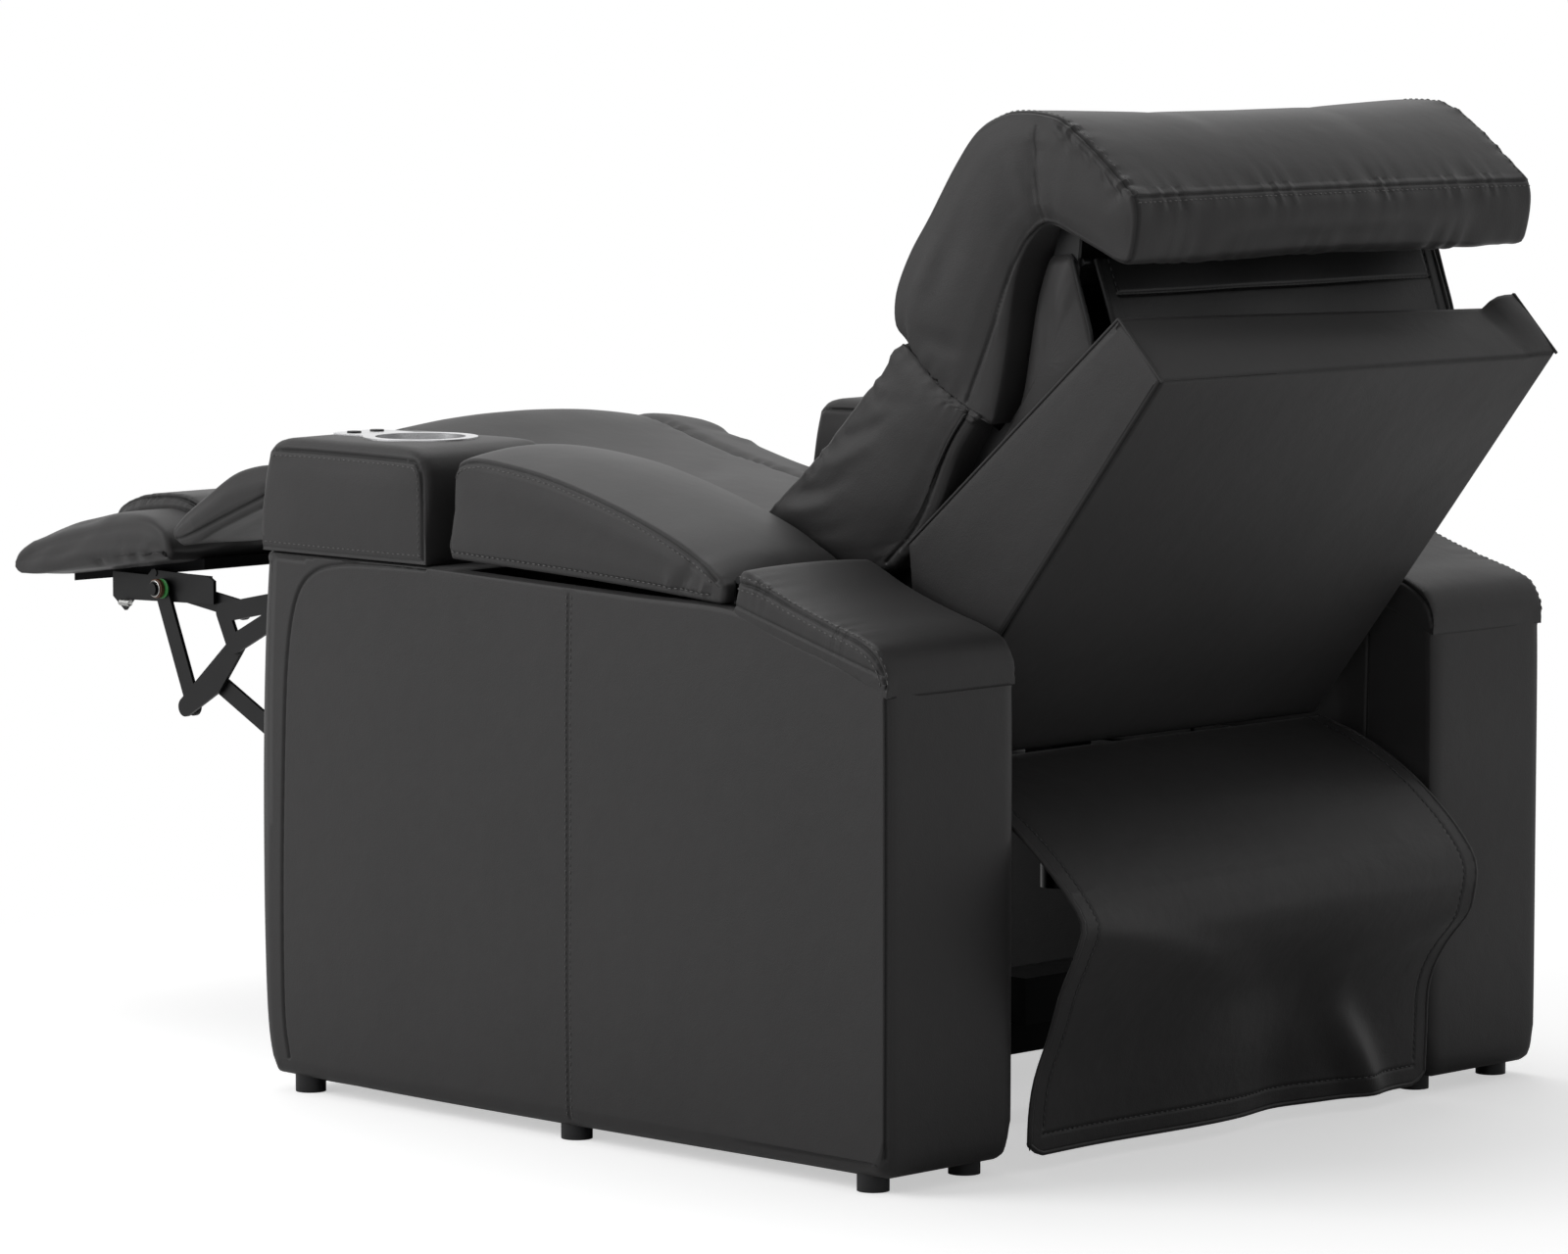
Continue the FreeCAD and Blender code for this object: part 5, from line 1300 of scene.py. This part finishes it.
HARD_FINISHES = {
    "frame": "frame_paint", "bare": "zinc_steel", "cup": "brushed_cup", "plastic": "black_plastic",
    "nylon": "white_nylon", "webbing": "elastic_webbing", "board": "raw_board",
}


def finish_hard_parts():
    """Paint, plate and plastic for the pieces that the frame brings."""
    slots = {part["node"]: part["material_slot"] for part in frame["record"]["subparts"]}
    for name, item in frame["nodes"].items():
        look = HARD_FINISHES.get(slots.get(name))
        if name.startswith(("storage_liner", "footrest_board")):
            look = "liner_felt"
        if name.startswith("lid_hinge"):
            look = "frame_paint"
        if look is None:
            continue
        if not item.material_slots:
            item.data.materials.append(None)
        for place in item.material_slots:
            place.material = finish(look)


TIP = (-0.843, 0.450)
PIN_DISCS = ((0.0002, 0.0022, 0.0105, 0.004, "green_washer"), (0.0022, 0.0070, 0.0100, 0.0, "brown_bush"),
             (0.0070, 0.0088, 0.0086, 0.0, "zinc_steel"))


def make_pin_caps():
    """The plated disc, brown bush and green washer on each footrest pivot."""
    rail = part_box("link_arm")[1].x
    for side, sign in SIDES:
        parts = []
        for low, high, radius, shift, look in PIN_DISCS:
            alone()
            bpy.ops.mesh.primitive_cylinder_add(
                vertices=40, radius=radius, depth=high - low, rotation=(0.0, math.pi / 2, 0.0),
                location=(sign * (rail + (low + high) / 2), TIP[0] + shift, TIP[1]))
            disc = bpy.context.view_layer.objects.active
            bpy.ops.object.transform_apply(location=True, rotation=True, scale=True)
            rounding = disc.modifiers.new("rounding", "BEVEL")
            rounding.width = 0.0005
            rounding.segments = 2
            bpy.ops.object.modifier_apply(modifier="rounding")
            parts.append(start_finish(disc, look))
        parts[0].name = "footrest_pin_cap_" + side
        joined(parts[0], parts[1:])
        dress(parts[0], "footrest", [])


# Stage

def make_stage():
    view = settings("view")
    scene = bpy.context.scene
    scene.view_settings.view_transform = "Standard"
    scene.world = bpy.data.worlds.new("studio")
    sky = Shading(scene.world)
    direction = sky.where.node.outputs["Generated"]
    backward = sky.node("SeparateXYZ", {"Vector": direction}).outputs["Y"]
    sky.feed(sky.nodes["Background"], {
        "Color": PURE_WHITE, "Strength": sky.spread(backward, view.room_light, view.room_light * 0.12, -0.2, 0.9)})
    white = sky.node("Background", {"Color": PURE_WHITE}).outputs["Background"]
    sky.mix(sky.seen_ray()[1], sky.nodes["Background"].outputs["Background"], white, "World Output")
    make_floor()
    add_lamp("side_softbox", (3.2, -2.0, 2.3), (0.2, 0.0, 0.45), 2.6, view.key_light)
    add_lamp("top_softbox", (-0.6, -0.8, 3.4), (0.0, 0.0, 0.4), 2.4, view.top_light)
    level = math.cos(view.elevation)
    away = Vector((level * math.sin(view.azimuth), -level * math.cos(view.azimuth), math.sin(view.elevation)))
    camera = bpy.data.objects.new("camera", bpy.data.cameras.new("camera"))
    scene.collection.objects.link(camera)
    camera.data.sensor_width = 36.0
    camera.data.lens = view.lens
    camera.location = Vector(view.target) + away * view.distance
    camera.rotation_euler = (-away).to_track_quat("-Z", "Y").to_euler()
    scene.camera = camera


def make_floor():
    """White paper that takes shadows near the seat and fades to pure white further out."""
    alone()
    bpy.ops.mesh.primitive_plane_add(size=60.0, location=(0.0, 0.0, 0.0))
    floor = bpy.context.view_layer.objects.active
    floor.name = "studio_floor"
    paper = Shading(bpy.data.materials.new("floor_paper"))
    rays, seen = paper.seen_ray()
    distance = paper.node("VectorMath", {0: paper.where}, operation="LENGTH").outputs["Value"]
    away = paper.spread(distance, 0.0, 1.0, 0.75, 1.5, interpolation_type="SMOOTHSTEP")
    paper.surface({
        "Base Color": (0.86, 0.86, 0.86, 1.0), "Roughness": 0.9, "Specular IOR Level": 0.1,
        "Emission Color": PURE_WHITE, "Emission Strength": paper.times(rays["Is Camera Ray"], 0.52)})
    paper.mix(paper.times(seen, away), paper.nodes["Principled BSDF"].outputs["BSDF"],
              paper.node("Emission").outputs["Emission"], "Material Output")
    floor.data.materials.append(paper.owner)


def add_lamp(name, place, aim, size, power):
    lamp = bpy.data.objects.new(name, bpy.data.lights.new(name, "AREA"))
    bpy.context.scene.collection.objects.link(lamp)
    lamp.data.shape = "SQUARE"
    lamp.data.size = size
    lamp.data.energy = power
    lamp.location = place
    lamp.rotation_euler = (Vector(aim) - Vector(place)).to_track_quat("-Z", "Y").to_euler()


# Operators

def operator(name, label, text, action):
    """An operator class that runs one maker."""
    def execute(self, context):
        action()
        return {"FINISHED"}
    return type("RECLINER_OT_" + name, (bpy.types.Operator,), {
        "__doc__": text, "bl_idname": "recliner." + name, "bl_label": label,
        "bl_options": {"REGISTER", "UNDO"}, "execute": execute})


def on_both_sides(maker):
    def action():
        for side, sign in SIDES:
            maker(side, sign)
    return action


STEPS = [operator(*row) for row in (
    ("stage", "Stage", "Floor, lamps and camera", make_stage),
    ("arm_covers", "Arm covers", "Leather covers of the arm boxes", on_both_sides(make_arm_cover)),
    ("front_pads", "Front pads", "Padded blocks round the cup holders", on_both_sides(make_front_pad)),
    ("rear_pads", "Rear pads", "Padded wedges behind the lids", on_both_sides(make_rear_pad)),
    ("lid_pads", "Lid pads", "Padded lids of the storage boxes", on_both_sides(make_lid_pad)),
    ("dust_cloths", "Dust cloths", "Black cloth under the arms", on_both_sides(make_arm_underside)),
    ("seat", "Seat cover", "The seat cushion", make_seat_cover),
    ("knee", "Knee cover", "The padded bridge to the footrest", make_knee_cover),
    ("footrest", "Footrest cover", "The footrest pad", make_foot_cover),
    ("foot_roll", "Footrest roll", "The raised roll on the footrest", make_foot_roll),
    ("lumbar", "Lumbar cover", "The lower back cushion", make_lumbar_cover),
    ("head", "Head cover", "The upper back cushion and the headrest", make_head_cover),
    ("back_box", "Back box cover", "The shell behind the cushions", make_box_cover),
    ("side_leathers", "Side leathers", "The leaves beside the neck panel", make_side_leathers),
    ("neck", "Neck leather", "The black sheet below the headrest", make_neck_leather),
    ("flap", "Rear flap", "The sheet that hangs from the back box", make_flap),
    ("pin_caps", "Pin caps", "Discs on the footrest pivots", make_pin_caps),
    ("hard_parts", "Hard parts", "Paint, metal and plastic", finish_hard_parts),
)]


class RECLINER_PT_pieces(bpy.types.Panel):
    """Lists the pieces of the recliner."""
    bl_label = "Recliner"
    bl_idname = "RECLINER_PT_pieces"
    bl_space_type = "VIEW_3D"
    bl_region_type = "UI"
    bl_category = "Recliner"

    def draw(self, context):
        for step in STEPS:
            self.layout.operator(step.bl_idname)


GROUPS = {"leather": LeatherSettings, "sewing": SewingSettings, "pads": PadSettings, "view": ViewSettings}


def register():
    for name, group in GROUPS.items():
        bpy.utils.register_class(group)
        setattr(bpy.types.Scene, "recliner_" + name, bpy.props.PointerProperty(type=group))
    for step in STEPS:
        bpy.utils.register_class(step)
    bpy.utils.register_class(RECLINER_PT_pieces)


def unregister():
    bpy.utils.unregister_class(RECLINER_PT_pieces)
    for step in reversed(STEPS):
        bpy.utils.unregister_class(step)
    for name, group in GROUPS.items():
        delattr(bpy.types.Scene, "recliner_" + name)
        bpy.utils.unregister_class(group)


def main():
    register()
    for step in STEPS:
        getattr(bpy.ops.recliner, step.bl_idname.split(".")[1])()


if __name__ == "__main__":
    main()
